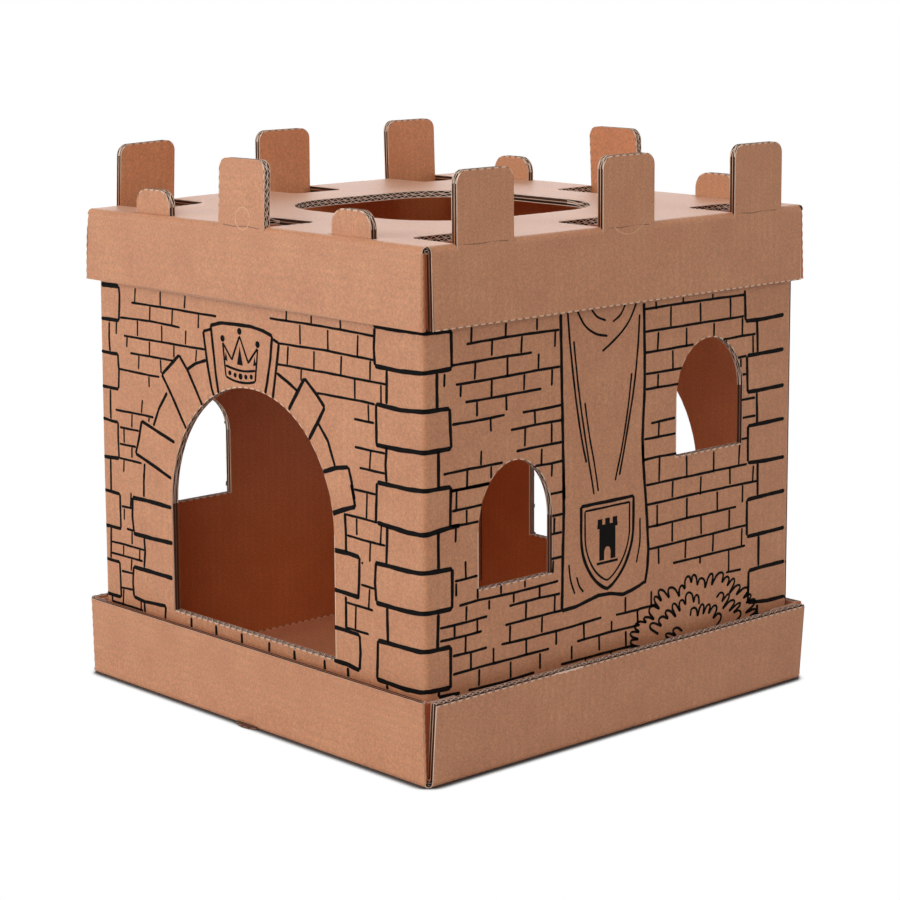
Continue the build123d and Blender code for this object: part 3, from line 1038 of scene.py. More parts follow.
def pressedKraft(name, shade, paper):
    # kraft liner flattened by the die: a little shinier than the paper round it, paler under the rubber
    # and darker along a scored fold
    material, tree = newMaterial(name)
    place = addNode(tree, "ShaderNodeTexCoord").outputs["Object"]
    cloud = addNode(
        tree, "ShaderNodeTexNoise",
        {"Vector": place, "Scale": metre / grains["pressed"], "Detail": 4.0, "Roughness": 0.65},
    )
    base = blendColours(tree, cloud.outputs[0], linearColour(shade), linearColour(paper))
    dull = addNode(tree, "ShaderNodeMapRange", {"Value": cloud.outputs[0], "To Min": 0.35, "To Max": 0.5})
    bump = addNode(
        tree, "ShaderNodeBump", {"Height": cloud.outputs[0], "Strength": 0.3, "Distance": 0.0001},
    )
    shader = addNode(
        tree, "ShaderNodeBsdfPrincipled",
        {"Base Color": base, "Roughness": dull.outputs[0], "Normal": bump.outputs[0], "IOR": 1.5},
    )
    addNode(tree, "ShaderNodeOutputMaterial", {"Surface": shader.outputs[0]})
    return material


ink = blackInk()
printing = {
    "proud": 0.1,  # the ink's height over the liner, more than the real film so that it shows
    "sunk": 0.02,  # how far its underside lies in the liner
    "step": 2.0,  # length of one piece of a line
    "tips": (0.0, 0.12, 0.45),  # places on a line's round tip, as shares of its width
    "least": 0.04,  # the tip's end is the root of this share of the width
    "sway": 0.12,  # how far a hand-drawn line wanders, in a long and a short wave
    "swayRuns": (9.0, 3.7),
    "swell": 0.06,  # how much its width changes, as a share, in a long and a short wave
    "swellRuns": (6.0, 2.3),
    "turn": 6.28,  # the waves start anywhere within this angle
    "brick": 2.1,  # width of the thin brick lines
    "sideBrick": 2.25,
    "spread": 1.62,  # the stone lines' measured widths grow by this, as the ink spread in the board
    "level": 5.0,  # a line that runs further than this along the sheet gets columns at the corners' bends
}


def openHere(s, z):
    # whether the point lies inside one of the sleeve's openings
    rows = sleeveRows(s)
    return inAnOpening(s) & (z > rows[1]) & (z < rows[2])


def addLine(sheet, width, points, place=roundSleeve, proud=printing["proud"]):
    # a line drawn on an unrolled sheet: resampled along its length, its width swelling slowly and
    # closing to a round tip at both ends
    points = np.array(points, float).reshape(-1, 2)
    run = np.append(0, np.cumsum(np.hypot(*np.diff(points, axis=0).T)))
    steps = max(3, int(run[-1] / printing["step"]) + 1)
    tips = np.array(printing["tips"]) * width
    between = np.linspace(width, run[-1] - width, steps) if run[-1] > 2.5 * width else [run[-1] / 2]
    where = columns(tips, between, run[-1] - tips)
    if points[-1, 0] > points[0, 0] + printing["level"]:
        bend = sleeveFlat / 2 + np.linspace(0, sleeve["fold"] * np.pi / 2, 9)
        bends = bend + sleeveTurn * np.arange(-2, 3)[:, None]
        atBends = np.interp(bends.ravel(), points[:, 0], run)
        where = columns(where, atBends[(atBends > width) & (atBends < run[-1] - width)])
    centre = np.stack([np.interp(where, run, points[:, k]) for k in (0, 1)], -1)
    ahead = np.gradient(centre, where, axis=0)
    side = np.stack([-ahead[:, 1], ahead[:, 0]], -1) / np.hypot(*ahead.T)[:, None]
    start = dice.random(4) * printing["turn"]
    waves = [
        np.sin(where / length + start[k])
        for k, length in enumerate((*printing["swayRuns"], *printing["swellRuns"]))
    ]
    wander = printing["sway"] * (0.6 * waves[0] + 0.4 * waves[1])
    wander -= np.interp(where, [0, run[-1]], [wander[0], wander[-1]])
    swell = 1 + printing["swell"] * (waves[2] + 0.6 * waves[3])
    nearTip = np.minimum(where, run[-1] - where) / (0.5 * width)
    rounded = np.sqrt(np.clip(1 - (1 - np.clip(nearTip, 0, 1)) ** 2, printing["least"], 1))
    half = 0.5 * width * swell * rounded
    left, right = centre + side * (wander + half)[:, None], centre + side * (wander - half)[:, None]
    face = np.stack([left, right])
    onFace = lambda s, t, n: place(face[..., 0], face[..., 1], n)
    middles = 0.5 * (centre[1:] + centre[:-1])
    filled = np.ones((1, len(where) - 1), bool)
    if place is roundSleeve:
        filled[0] = ~openHere(middles[:, 0], middles[:, 1])
    if filled.any():
        rows = np.stack([0 * where, 0 * where + 1])
        addSlab(sheet, onFace, where, rows, filled, -proud, printing["sunk"], "liner", "liner", "liner")


def addPatch(sheet, s, low, high):
    # a filled shape on the unrolled sleeve, between the heights low and high at each length s
    rows = np.stack([low + 0 * s, high + 0 * s])
    addSlab(
        sheet, roundSleeve, s, rows, np.ones((1, len(s) - 1), bool), -printing["proud"],
        printing["sunk"], "liner", "liner", "liner",
    )


def addDisc(sheet, s, z, radius):
    # a filled circle, its two ends cut off a hair short
    turn = np.linspace(-0.98, 0.98, 13) * np.pi / 2
    reach = radius * np.cos(turn)
    addPatch(sheet, s + radius * np.sin(turn), z - reach, z + reach)


def curve(points, steps=6):
    # a smooth line through the given points: a Catmull-Rom spline, sampled steps times a stretch
    knots = np.array(points, float).reshape(-1, 2)
    knots = np.vstack([2 * knots[0] - knots[1], knots, 2 * knots[-1] - knots[-2]])
    t = np.linspace(0, 1, steps, endpoint=False)[None, :, None]
    before, first, last, after = (knots[k : len(knots) - 3 + k, None, :] for k in range(4))
    line = first + 0.5 * t * (
        last - before + t * (
            2 * before - 5 * first + 4 * last - after + t * (3 * (first - last) + after - before)
        )
    )
    return np.vstack([line.reshape(-1, 2), knots[-2]])


# Printed lines as pairs of length round the sleeve and height. A stone line starts with its own width.
stoneLines = [
    (2.8, -210.5, 355, -184.5, 355.5), (1.8, -184.5, 355.5, -183.5, 349, -184, 338.5, -185.5, 325),
    (2.1, -212, 324.5, -185.5, 325), (1.6, -200, 322.5, -201, 308.5, -200, 296),
    (1.9, -213, 295, -198, 294.5, -188, 295), (1.7, -188, 295, -188, 288, -187, 281.5, -188.5, 264),
    (1.9, -213, 263.5, -188.5, 263.5), (1.6, -201, 262, -201.5, 247.5, -201.5, 235),
    (1.8, -213.5, 234.5, -201, 233.5, -190.5, 233.5), (1.6, -190.5, 233.5, -191, 218, -190.5, 202),
    (2.1, -214.5, 199.5, -190.5, 201), (1.6, -203.5, 199, -204, 179.5), (1.6, -203.5, 187, -204, 169),
    (1.9, -215, 169, -204, 169, -190.5, 168.5), (1.7, -190.5, 168.5, -190.5, 152, -190.5, 137.5),
    (2, -216.5, 136.5, -205.5, 137, -190, 137), (1.6, -205.5, 136, -207, 107.5),
    (1.9, -217.5, 106, -206, 106, -193.5, 106), (1.7, -193.5, 106, -192.5, 74), (2, -218.5, 74, -193, 74),
    (1.7, -206.5, 73, -206.5, 67), (1.8, -206.5, 67.5, -182, 67.5, -159.5, 67.5),
    (1.9, -63, 329, -58.5, 303.5, -53, 281.5, -49.5, 274.5), (1.7, -63, 329, -52, 332),
    (1.9, -52.5, 335.5, -50.5, 322, -46.5, 292, -43.5, 278),
    (1.9, -53, 335, -38.5, 338.5, -20.5, 339.5, 1, 340, 18.5, 338, 30, 335),
    (1.9, 30, 335, 27, 315.5, 22.5, 296, 19.5, 286), (1.7, 31, 332.5, 38.5, 330),
    (1.9, 38.5, 329.5, 34.5, 307.5, 29.5, 283.5), (1.8, -86.5, 293.5, -74.5, 300, -60, 304.5),
    (1.9, -123.5, 284.5, -98, 304.5), (1.9, -123.5, 284.5, -110, 268.5, -90, 241.5),
    (1.9, -98, 304.5, -85.5, 291.5, -66.5, 265), (1.8, -116.5, 269.5, -129, 253.5, -137.5, 237.5),
    (2, -155, 239.5, -130, 233, -107, 227), (1.8, -155, 239.5, -159.5, 223.5, -165, 209),
    (2, -165, 209, -138.5, 202, -113, 194.5), (1.7, -152, 202, -153.5, 187),
    (1.7, -153.5, 193.5, -154.5, 171.5), (2.4, -171.5, 168.5, -144, 169, -114, 168.5),
    (1.9, -171.5, 168.5, -172.5, 151.5, -170.5, 137), (2.4, -171.5, 136, -145, 136, -113.5, 137),
    (1.8, -155.5, 134.5, -154.5, 122.5, -156.5, 107.5), (2.4, -172.5, 105.5, -146.5, 105.5, -114.5, 105.5),
    (1.8, -172.5, 105.5, -174, 91, -173, 78), (2, -173, 78, -157, 76.5, -125.5, 78.5),
    (1.8, -157.5, 76, -157, 66.5), (1.8, -125.5, 78.5, -127, 64), (1.9, -88.5, 75.5, -88.5, 64.5),
    (1.9, -53.5, 75.5, -53, 64), (1.9, -18, 75.5, -17.5, 64), (1.9, 19.5, 75.5, 19, 63),
    (1.9, 52.5, 75, 53, 64), (1.9, 91.5, 75, 92, 64), (1.9, 121, 74.5, 121.5, 64),
    (1.8, 35.5, 305, 50, 299, 61.5, 293.5), (2, 71, 305, 85.5, 294, 96, 284.5),
    (2.2, 71, 305, 61.5, 292.5, 50, 276.5), (2.2, 96, 284.5, 86.5, 270.5, 75.5, 255.5),
    (1.8, 87.5, 270.5, 99.5, 257.5, 108, 238), (2.3, 93, 231.5, 109, 237, 124.5, 240),
    (1.8, 124.5, 240, 128, 229.5, 132, 214.5), (1.8, 127.5, 227, 132.5, 208.5),
    (2.5, 103, 198.5, 116, 203.5, 132.5, 209), (1.9, 119.5, 202, 120.5, 186, 120.5, 170),
    (2.5, 104.5, 169, 123, 169.5, 137, 168.5), (1.9, 137, 168.5, 136.5, 153.5, 135, 135.5),
    (2.3, 104, 136.5, 122, 136, 136.5, 135.5), (1.9, 119.5, 133.5, 119.5, 106.5),
    (2.1, 103.5, 105, 120, 105, 136, 104.5), (1.9, 136, 104.5, 137, 90, 135.5, 75.5),
    (2.4, 103.5, 77, 121, 77, 135.5, 75), (3, 156.5, 357.5, 188.5, 357.5, 211, 358, 217, 358, 242.5, 357),
    (1.9, 158, 355.5, 157, 340, 158, 326), (2.3, 158, 325.5, 188, 325, 210.5, 326, 217, 326.5, 242.5, 327),
    (1.9, 242, 356.5, 242.5, 327.5), (1.9, 172, 324, 171.5, 297), (2, 227, 325.5, 227, 297.5),
    (2.3, 159, 295.5, 187.5, 294.5, 210.5, 296, 216.5, 296.5, 240, 296), (1.9, 159, 295.5, 159, 263.5),
    (2.4, 158, 263, 187, 263, 210, 264, 216, 264.5, 241.5, 264.5), (1.9, 240, 296, 241.5, 264.5),
    (1.9, 171, 263, 169.5, 248.5, 170.5, 234.5), (2, 228, 264, 228, 234.5),
    (2.3, 159.5, 233, 194.5, 233, 209.5, 234, 216, 234.5, 241, 234), (1.9, 159, 232.5, 157.5, 200.5),
    (2.5, 159, 200.5, 194, 198.5, 209.5, 199, 216, 200, 240.5, 202, 250.5, 202),
    (1.9, 241, 234, 240, 202.5), (1.9, 171, 199, 169.5, 168.5), (2, 227.5, 200, 227.5, 170.5),
    (2.4, 156, 167.5, 193.5, 167.5, 209, 168.5, 215.5, 169.5, 242, 168.5),
    (1.9, 157, 167.5, 155.5, 151, 157, 136),
    (2.4, 156.5, 135, 193, 135, 208.5, 136, 215.5, 137, 241.5, 136.5), (2, 242, 168.5, 241.5, 136.5),
    (2, 170, 133.5, 170.5, 105.5), (2.1, 227, 135, 226, 107),
    (2.4, 158.5, 104.5, 193, 105, 208.5, 105.5, 215, 106.5, 240, 106), (1.9, 158.5, 104.5, 157, 72.5),
    (2.4, 156.5, 72.5, 192.5, 71.5, 208, 72.5, 215, 74, 239.5, 73), (2, 240, 106, 239.5, 72.5),
    (1.9, 169, 70.5, 169.5, 64), (2.2, 227, 72, 227, 68), (2, 227, 67.5, 249.5, 66.5),
]
sideStoneLines = [
    (1.9, 584, 355.5, 585, 341, 585.5, 329), (2.2, 585.5, 328.5, 610.5, 328, 636, 329),
    (1.9, 600.5, 327.5, 602, 299.5), (2.2, 588.5, 298, 611, 298, 636.5, 298.5),
    (1.9, 588, 297.5, 589.5, 266), (2.2, 589, 266, 612, 266, 637.5, 266.5),
    (1.9, 601.5, 264.5, 602.5, 237), (2.2, 590.5, 236, 612.5, 236, 638.5, 236.5),
    (1.9, 590.5, 236, 591, 204.5), (2.2, 591, 203.5, 613.5, 202, 639.5, 202),
    (1.9, 604, 201.5, 604.5, 172.5), (2.2, 590.5, 170.5, 617, 171, 640.5, 171.5),
    (1.9, 590.5, 170.5, 591, 138.5), (2.2, 591, 137.5, 618, 137.5, 641, 138),
    (1.9, 606.5, 136, 607, 108.5), (2.2, 594, 106.5, 618.5, 107, 642, 107), (1.9, 594, 106.5, 593.5, 78),
    (2.2, 593.5, 78, 619.5, 75, 642.5, 75), (1.9, 606, 74, 606, 63.5),
    (2, 361, 357.5, 362, 317, 363.5, 265, 365.5, 204.5), (2, 364.5, 227, 365, 195.5, 364, 157.5, 363, 113),
    (
        2, 363, 112.5, 378.5, 113, 395, 116, 405.5, 118, 420, 117,
        435, 113.5, 446, 115.5, 455.5, 118, 461, 120,
    ),
    (2, 458, 357, 459.5, 314, 459.5, 282, 457.5, 244.5, 458.5, 222.5),
    (2, 457.5, 238, 460, 209, 463.5, 175.5, 465.5, 149, 464.5, 132, 461.5, 118),
]
frontBrickLines = [
    (-159.5, 356.5, -161, 343), (-123, 357, -123.5, 344.5), (-87.5, 357, -89, 345.5),
    (-166, 343, -122, 343.5, -44.5, 343.5), (-138.5, 342.5, -139.5, 330), (-106, 343, -107.5, 329.5),
    (-69, 343.5, -70, 330.5), (-183.5, 328, -139, 329.5, -96, 328.5), (-189, 323.5, -190, 312.5),
    (-157.5, 328, -158, 314), (-122, 327.5, -122.5, 312), (-87.5, 327, -88.5, 314.5),
    (-178.5, 312.5, -123, 313, -61.5, 313.5), (-173.5, 312, -174.5, 302.5), (-140.5, 311.5, -141, 299),
    (-105, 312, -105.5, 301.5), (-73, 312, -74.5, 301.5), (-169.5, 298, -107, 298.5),
    (-156.5, 297.5, -157.5, 285), (-125, 297.5, -124.5, 285.5), (-186, 282, -143, 281.5, -127, 282),
    (-142.5, 280.5, -142.5, 271), (-153, 258.5, -155, 246.5), (-194, 244.5, -154, 245, -137, 245),
    (-169, 244, -170, 231.5), (-143.5, 244, -144.5, 240), (-188, 229.5, -159.5, 230),
    (-182, 229, -182, 216), (-189, 214.5, -164.5, 215), (-170.5, 214, -171, 204),
    (-190.5, 201.5, -156.5, 201.5), (-183, 200.5, -184, 189.5), (-173.5, 172.5, -175, 159),
    (-188.5, 158, -172.5, 158.5), (-184.5, 156.5, -185, 146), (-181.5, 138.5, -171.5, 138.5),
    (-173.5, 138.5, -174, 125.5), (-205, 123, -186, 123.5, -156, 123.5), (-187, 122.5, -187.5, 113.5),
    (-205.5, 112.5, -158.5, 113), (-162.5, 123, -163.5, 112), (-175, 112, -176.5, 101),
    (-191, 98.5, -174.5, 99), (-192, 83, -174.5, 84), (-188.5, 82.5, -190, 68), (-162.5, 76, -162.5, 67.5),
    (49, 358, 48.5, 349), (80.5, 357.5, 80.5, 350), (116.5, 357.5, 117, 350),
    (27, 349.5, 95.5, 350, 156.5, 349), (66, 348.5, 66, 332), (101, 348, 101, 331), (138, 348, 137, 330.5),
    (38, 330, 95, 331, 156.5, 330), (50.5, 329, 49, 313.5), (83.5, 329, 83, 312.5),
    (117.5, 329, 116.5, 312), (152.5, 329, 152, 313.5), (36.5, 312.5, 94.5, 313, 171, 312.5),
    (67, 312, 66.5, 302.5), (133.5, 312.5, 133.5, 296), (165, 311.5, 165, 296.5),
    (86.5, 295, 137.5, 295.5, 157.5, 295), (149.5, 294, 150, 280), (132, 280, 156.5, 280),
    (132.5, 257.5, 169, 257.5), (152, 257.5, 150.5, 242), (138, 241.5, 168.5, 241.5),
    (131, 223, 157.5, 223), (147, 222.5, 146, 201.5), (120.5, 201, 141.5, 201, 159, 200.5),
    (134, 200, 134, 186), (122, 184, 144.5, 183.5, 168.5, 183.5), (164, 199.5, 162.5, 182),
    (150.5, 183, 149.5, 167), (139, 164.5, 141.5, 164.5), (138.5, 146.5, 154.5, 146),
    (149, 145, 147.5, 128), (121, 128.5, 153, 128), (132, 128, 131, 108.5), (120, 107.5, 147.5, 107.5),
]
sideBrickLines = [
    (263.5, 357.5, 263, 345), (300.5, 357, 300, 345.5), (334.5, 357, 334.5, 347),
    (258, 344.5, 301, 345.5, 359.5, 345), (285.5, 344.5, 285, 332), (318, 344.5, 317, 331),
    (355, 344.5, 354.5, 331.5), (242.5, 329.5, 284.5, 330, 329, 330), (267.5, 329, 266.5, 315.5),
    (302, 329.5, 302, 313.5), (336.5, 328.5, 336, 316), (246.5, 314, 287, 314, 332, 315, 360.5, 315),
    (252, 313, 251.5, 303.5), (285, 313.5, 284.5, 299.5), (320.5, 313.5, 320, 300.5),
    (351.5, 314, 351, 300.5), (256.5, 299, 301, 299, 339.5, 299.5), (269, 298, 269, 286),
    (300.5, 298.5, 301, 286.5), (318.5, 283, 336, 283, 362, 283.5), (332, 283, 332.5, 272),
    (242.5, 283, 273.5, 283, 299, 283.5), (283.5, 283, 284, 272), (305.5, 270.5, 333.5, 271, 363, 271),
    (321.5, 270, 321, 255), (351, 270, 351, 254), (311.5, 252.5, 340.5, 253, 363, 253),
    (340, 251, 339.5, 237.5), (332, 237.5, 350.5, 237, 363.5, 237.5), (351.5, 236.5, 351, 226),
    (273.5, 258.5, 273, 246.5), (233, 245, 259.5, 245.5, 297, 245.5), (284, 244.5, 284, 234.5),
    (258.5, 245, 258, 231), (241, 230.5, 262, 230.5, 282, 230.5), (346, 212, 364.5, 212),
    (235, 324, 234.5, 313.5), (472.5, 357, 473, 350), (506, 357, 506, 352.5), (543, 356.5, 543, 352.5),
    (458, 351.5, 513.5, 352, 584, 351.5), (491, 351, 491, 333.5), (527.5, 350.5, 528, 334),
    (565.5, 351, 566, 333.5), (460, 332.5, 530, 333, 583.5, 333), (476, 331, 475, 315),
    (510.5, 331, 510.5, 314), (545, 331.5, 545, 319.5), (581.5, 332, 581.5, 316.5),
    (460, 315, 492, 315, 519.5, 315.5), (556, 315.5, 579, 316, 599, 316), (561, 314.5, 561.5, 311),
    (595.5, 315.5, 596, 299.5), (493.5, 313.5, 494, 297.5), (461, 297, 483, 297, 506, 297),
    (572.5, 297.5, 587.5, 298), (580, 296.5, 580.5, 282.5), (576.5, 282.5, 587, 282),
    (476, 295.5, 475.5, 283.5), (461, 284, 475, 284, 501.5, 284), (580, 260, 599.5, 260),
    (583, 259.5, 583, 244), (581, 244, 600.5, 244), (467.5, 254.5, 480, 255, 497.5, 255.5),
    (477.5, 254.5, 477, 242), (459.5, 242, 478.5, 242, 498, 242), (581.5, 225.5, 590, 225.5),
    (459.5, 224.5, 479, 225, 499.5, 224.5), (241.5, 231, 259.5, 231, 282.5, 231), (247, 230, 246.5, 214.5),
    (242, 214.5, 257.5, 214.5, 274, 215), (257.5, 213.5, 257.5, 202.5),
    (241.5, 202.5, 257.5, 202, 270.5, 202), (246, 200.5, 245.5, 189), (256, 172.5, 256.5, 158),
    (244.5, 158, 257.5, 158, 269, 158.5), (246, 156.5, 246, 145.5), (269, 148, 269, 139.5),
    (249, 137.5, 269, 138.5, 311, 137.5, 359, 138.5), (294.5, 146.5, 294.5, 139), (321, 145.5, 321, 139.5),
    (257, 136, 256.5, 124), (281.5, 136.5, 281.5, 128.5), (228.5, 123, 257, 123, 279.5, 123.5),
    (244, 123, 244, 113), (268.5, 122.5, 268.5, 111.5), (228.5, 112.5, 250.5, 112, 273.5, 112.5),
    (256, 112, 255.5, 98), (242, 98, 262, 97.5, 279, 98), (261.5, 97, 261.5, 83.5), (286, 96.5, 286, 84),
    (242, 83, 283.5, 83.5, 317.5, 83.5, 348.5, 83.5), (270.5, 82, 270, 68), (305, 81.5, 305, 67.5),
    (322.5, 97.5, 322.5, 83), (338, 82, 338, 68.5), (294.5, 97.5, 321, 97, 361, 97, 409.5, 98.5),
    (304.5, 111.5, 304, 96.5), (299, 112.5, 321, 113, 363, 113), (322.5, 127, 322, 113.5),
    (340.5, 112.5, 340, 98.5), (303.5, 127.5, 335, 128, 361, 127.5), (308.5, 137, 308.5, 129),
    (337.5, 138, 337.5, 128), (355, 127, 354.5, 113), (356.5, 97, 356.5, 85), (388.5, 97.5, 389, 83),
    (374.5, 81, 374.5, 69), (258.5, 67, 297, 66, 331.5, 67), (287.5, 66, 287.5, 61),
    (318.5, 66, 318.5, 60.5), (362, 67.5, 406, 67.5, 448.5, 67), (390.5, 67.5, 391, 58.5),
    (406.5, 84, 407, 70.5), (421, 66.5, 421, 60), (380.5, 83.5, 420.5, 84, 456, 83.5),
    (421.5, 93.5, 421.5, 84.5), (438, 111, 438, 97.5), (438.5, 81.5, 439, 67), (426.5, 97.5, 456, 97),
    (452.5, 96.5, 453.5, 83.5), (349.5, 193.5, 363.5, 193.5), (354.5, 192, 354, 179),
    (350.5, 178.5, 363, 178.5), (350.5, 158, 363, 158), (353, 156.5, 352.5, 146),
    (478.5, 224.5, 478, 203.5), (512, 221, 512.5, 202.5), (546.5, 220, 546.5, 201), (580, 221, 579, 203.5),
    (462, 202.5, 513.5, 202.5, 590, 202.5), (495, 201.5, 494.5, 187), (530.5, 200.5, 530, 184),
    (567.5, 202.5, 568, 187.5), (598.5, 200, 597.5, 184.5), (463, 185.5, 530, 186, 603.5, 185.5),
    (476, 184, 476, 164.5), (513, 184.5, 513, 166), (551.5, 184, 552, 166.5), (584.5, 185, 584.5, 169),
    (465.5, 166, 514, 166.5, 576.5, 166.5), (495, 165.5, 495, 148.5), (531, 166, 531.5, 149),
    (567.5, 165.5, 567.5, 148.5), (466.5, 147, 531.5, 147.5, 590, 148), (478, 146, 478.5, 132),
    (512, 147, 511.5, 131.5), (547, 147, 546.5, 131.5), (584.5, 146.5, 584, 130.5),
    (496, 130, 545.5, 130, 589, 130), (530.5, 130, 530.5, 123.5), (567.5, 130, 567.5, 110),
    (564, 110, 584, 109.5), (469.5, 110.5, 469.5, 97), (452.5, 96.5, 453, 83.5), (438.5, 81.5, 439, 68.5),
    (454, 97.5, 476.5, 97.5),
]

frontSheet, sideSheet = newSheet(), newSheet()
for width, *line in stoneLines:
    addLine(frontSheet, width * printing["spread"], line)
for line in frontBrickLines:
    addLine(frontSheet, printing["brick"], line)
for width, *line in sideStoneLines:
    addLine(sideSheet, width * printing["spread"], line)
for line in sideBrickLines:
    addLine(sideSheet, printing["sideBrick"], line)
makePiece("masonry_print_front", frontSheet, [ink])
makePiece("masonry_print_side", sideSheet, [ink])

# The back wall repeats the front wall's masonry, and the plain side wall mirrors the banner wall's.
rear = {
    "turn": 217.0,  # a line that starts or ends past this length reaches round the corner
    "from": 217.5,  # its mirrored part starts here at the earliest, and keeps the points past the next
    "next": 217.6,
    "least": 3.0,  # a shorter part is left out
    "side": 580.0,  # the corner stones past this length come with the back wall
}
rearSheet = newSheet()
frontBricks = [(printing["brick"] / printing["spread"], *line) for line in frontBrickLines]
for width, *line in stoneLines + frontBricks:
    line = np.array(line, float).reshape(-1, 2)
    addLine(rearSheet, width * printing["spread"], line + (2 * sleeveTurn, 0))
    if line[-1, 0] > rear["turn"] or line[0, 0] > rear["turn"]:
        ahead = line if line[-1, 0] >= line[0, 0] else line[::-1]
        kept = np.append(max(rear["from"], ahead[0, 0]), ahead[ahead[:, 0] > rear["next"], 0])
        if len(kept) > 1 and np.ptp(kept) > rear["least"]:
            mirrored = np.stack([-kept, np.interp(kept, ahead[:, 0], ahead[:, 1])], -1)[::-1]
            addLine(rearSheet, width * printing["spread"], mirrored)
        elif np.min(line[:, 0]) > rear["turn"]:
            addLine(rearSheet, width * printing["spread"], line * (-1, 1))
sideStones = [line for line in sideStoneLines if line[1] < rear["side"]]
sideBricks = [(printing["sideBrick"] / printing["spread"], *line) for line in sideBrickLines]
for width, *line in sideStones + sideBricks:
    line = np.array(line, float).reshape(-1, 2) * (-1, 1)
    addLine(rearSheet, width * printing["spread"], line[::-1] if line[-1, 0] < line[0, 0] else line)
makePiece("masonry_print_rear", rearSheet, [ink])

# A plain crown on the keystone. Its points are shares of its half width and of its height.
crown = {
    "middle": -13.0,
    "foot": 293.0,
    "half": 24.0,
    "high": 41.0,
    "line": 2.1,
    "bow": 0.10,  # how far foot and band sag in the middle, as a share of the height
    "lift": 0.06,
    "band": (0.0, 0.22),  # the heights of the band's two lines
    "bandHalf": 0.82,
    "points": [
        (-0.82, 0.0), (-0.98, 0.66), (-0.47, 0.38), (-0.02, 0.86), (0.45, 0.38), (0.98, 0.66), (0.82, 0.0),
    ],
    "balls": [(-0.98, 0.74), (-0.02, 0.95), (0.98, 0.74)],
    "ball": 2.9,
    # the filled points: middle, half width, low and high
    "darts": [(-0.80, 0.08, 0.32, 0.50), (-0.02, 0.16, 0.32, 0.70), (0.80, 0.08, 0.32, 0.50)],
    "dartLeast": 0.2,
    "jewels": (-0.60, -0.30, 0.0, 0.30, 0.60),
    "jewelHigh": 0.11,
    "jewel": 2.1,
    "middleJewel": 2.7,
}
crownSheet = newSheet()


def onCrown(points):
    # crown coordinates: -1 to 1 across and 0 to 1 up, its foot and band bowed down in the middle
    u, v = np.array(points, float).reshape(-1, 2).T
    bow = crown["bow"] * (1 - np.clip(u, -1, 1) ** 2)
    up = crown["foot"] + crown["high"] * (v + crown["lift"] - bow * (1 - v))
    return np.stack([crown["middle"] + crown["half"] * u, up], -1)


across = np.linspace(-crown["bandHalf"], crown["bandHalf"], 15)
for height in crown["band"]:
    addLine(crownSheet, crown["line"], onCrown(np.stack([across, 0 * across + height], -1)))
addLine(crownSheet, crown["line"], onCrown(crown["points"]))
for tip in crown["balls"]:
    addDisc(crownSheet, *onCrown([tip])[0], crown["ball"])
for middle, wide, low, high in crown["darts"]:
    u = np.linspace(-1, 1, 9)
    tall = (high - low) * (1 - np.abs(u))
    edge = onCrown(np.stack([middle + wide * u, 0 * u + low], -1))
    addPatch(crownSheet, edge[:, 0], edge[:, 1], edge[:, 1] + crown["high"] * tall + crown["dartLeast"])
for middle in crown["jewels"]:
    size = crown["jewel"] if middle else crown["middleJewel"]
    addDisc(crownSheet, *onCrown([(middle, crown["jewelHigh"])])[0], size)
makePiece("crown_print_keystone", crownSheet, [ink])

# The banner's folds, and a plain shield with a tower in it.
bannerSheet = newSheet()
bannerFolds = [
    (2.1, 369, 358, 372, 330, 377, 296, 384, 258, 391, 232),
    (1.9, 376, 334, 380, 305, 386, 270, 394, 232, 400, 204),
    (1.8, 389, 282, 394, 256, 401, 226, 405, 206), (2.1, 453, 348, 451, 318, 446, 284, 438, 248, 430, 216),
    (1.9, 444, 300, 440, 272, 433, 240, 425, 212), (2.0, 380, 358, 389, 345, 402, 337, 415, 334),
    (2.0, 449, 358, 442, 346, 432, 336, 420, 328, 409, 322), (1.8, 396, 358, 403, 351, 413, 347),
    (1.8, 436, 358, 430, 350, 421, 345), (1.8, 371, 150, 373, 136, 378, 124),
    (1.8, 455, 176, 455, 156, 451, 138), (1.7, 380, 138, 383, 130, 388, 124),
]
for width, *line in bannerFolds:
    addLine(bannerSheet, width, curve(line))
shield = {
    "middle": 416.0,
    "top": 196.0,
    "half": 31.0,
    "high": 74.0,
    "edges": ((0.0, 3.0), (4.6, 1.8)),  # each line's inset and width
    "straight": 0.34,  # its sides are straight over this share of the height
    "bend": 2.0,  # below that the width is a power of 1 less a power of the way down
    "point": 0.72,
    "rise": 2.6,  # the inner line's point rises by this many insets
}


def shieldEdge(share, inset):
    # one side of the shield from its top corner down to its point: straight, then a curve
    past = np.clip((share - shield["straight"]) / (1 - shield["straight"]), 0, 1)
    half = (shield["half"] - inset) * np.clip(1 - past ** shield["bend"], 0, 1) ** shield["point"]
    return half, shield["top"] - inset - (shield["high"] - shield["rise"] * inset) * share


share = np.sin(np.linspace(0, np.pi / 2, 25))
for inset, width in shield["edges"]:
    half, z = shieldEdge(share, inset)
    half[-1] = 0
    down = np.stack([shield["middle"] - half, z], -1)
    up = np.stack([shield["middle"] + half, z], -1)[-2::-1]
    addLine(bannerSheet, width, np.concatenate([down, up]))
    addLine(bannerSheet, width, [(shield["middle"] - half[0], z[0]), (shield["middle"] + half[0], z[0])])
tower = {
    "foot": 147.0,
    "half": 9.5,
    "high": 27.0,
    "door": 3.8,  # half the door's width
    "doorHigh": 7.0,  # where its arch starts
    "eaves": 2.5,  # the ledge under the merlons stands out by this
    "ledge": 3.0,
    "merlon": 5.0,
    "merlonHalf": 2.7,
    "merlonStep": 8.9,
    "ground": (3.0, -3.4, -1.2),  # the line it stands on: how far it reaches, its low and its high edge
}
middle, foot, half = shield["middle"], tower["foot"], tower["half"]
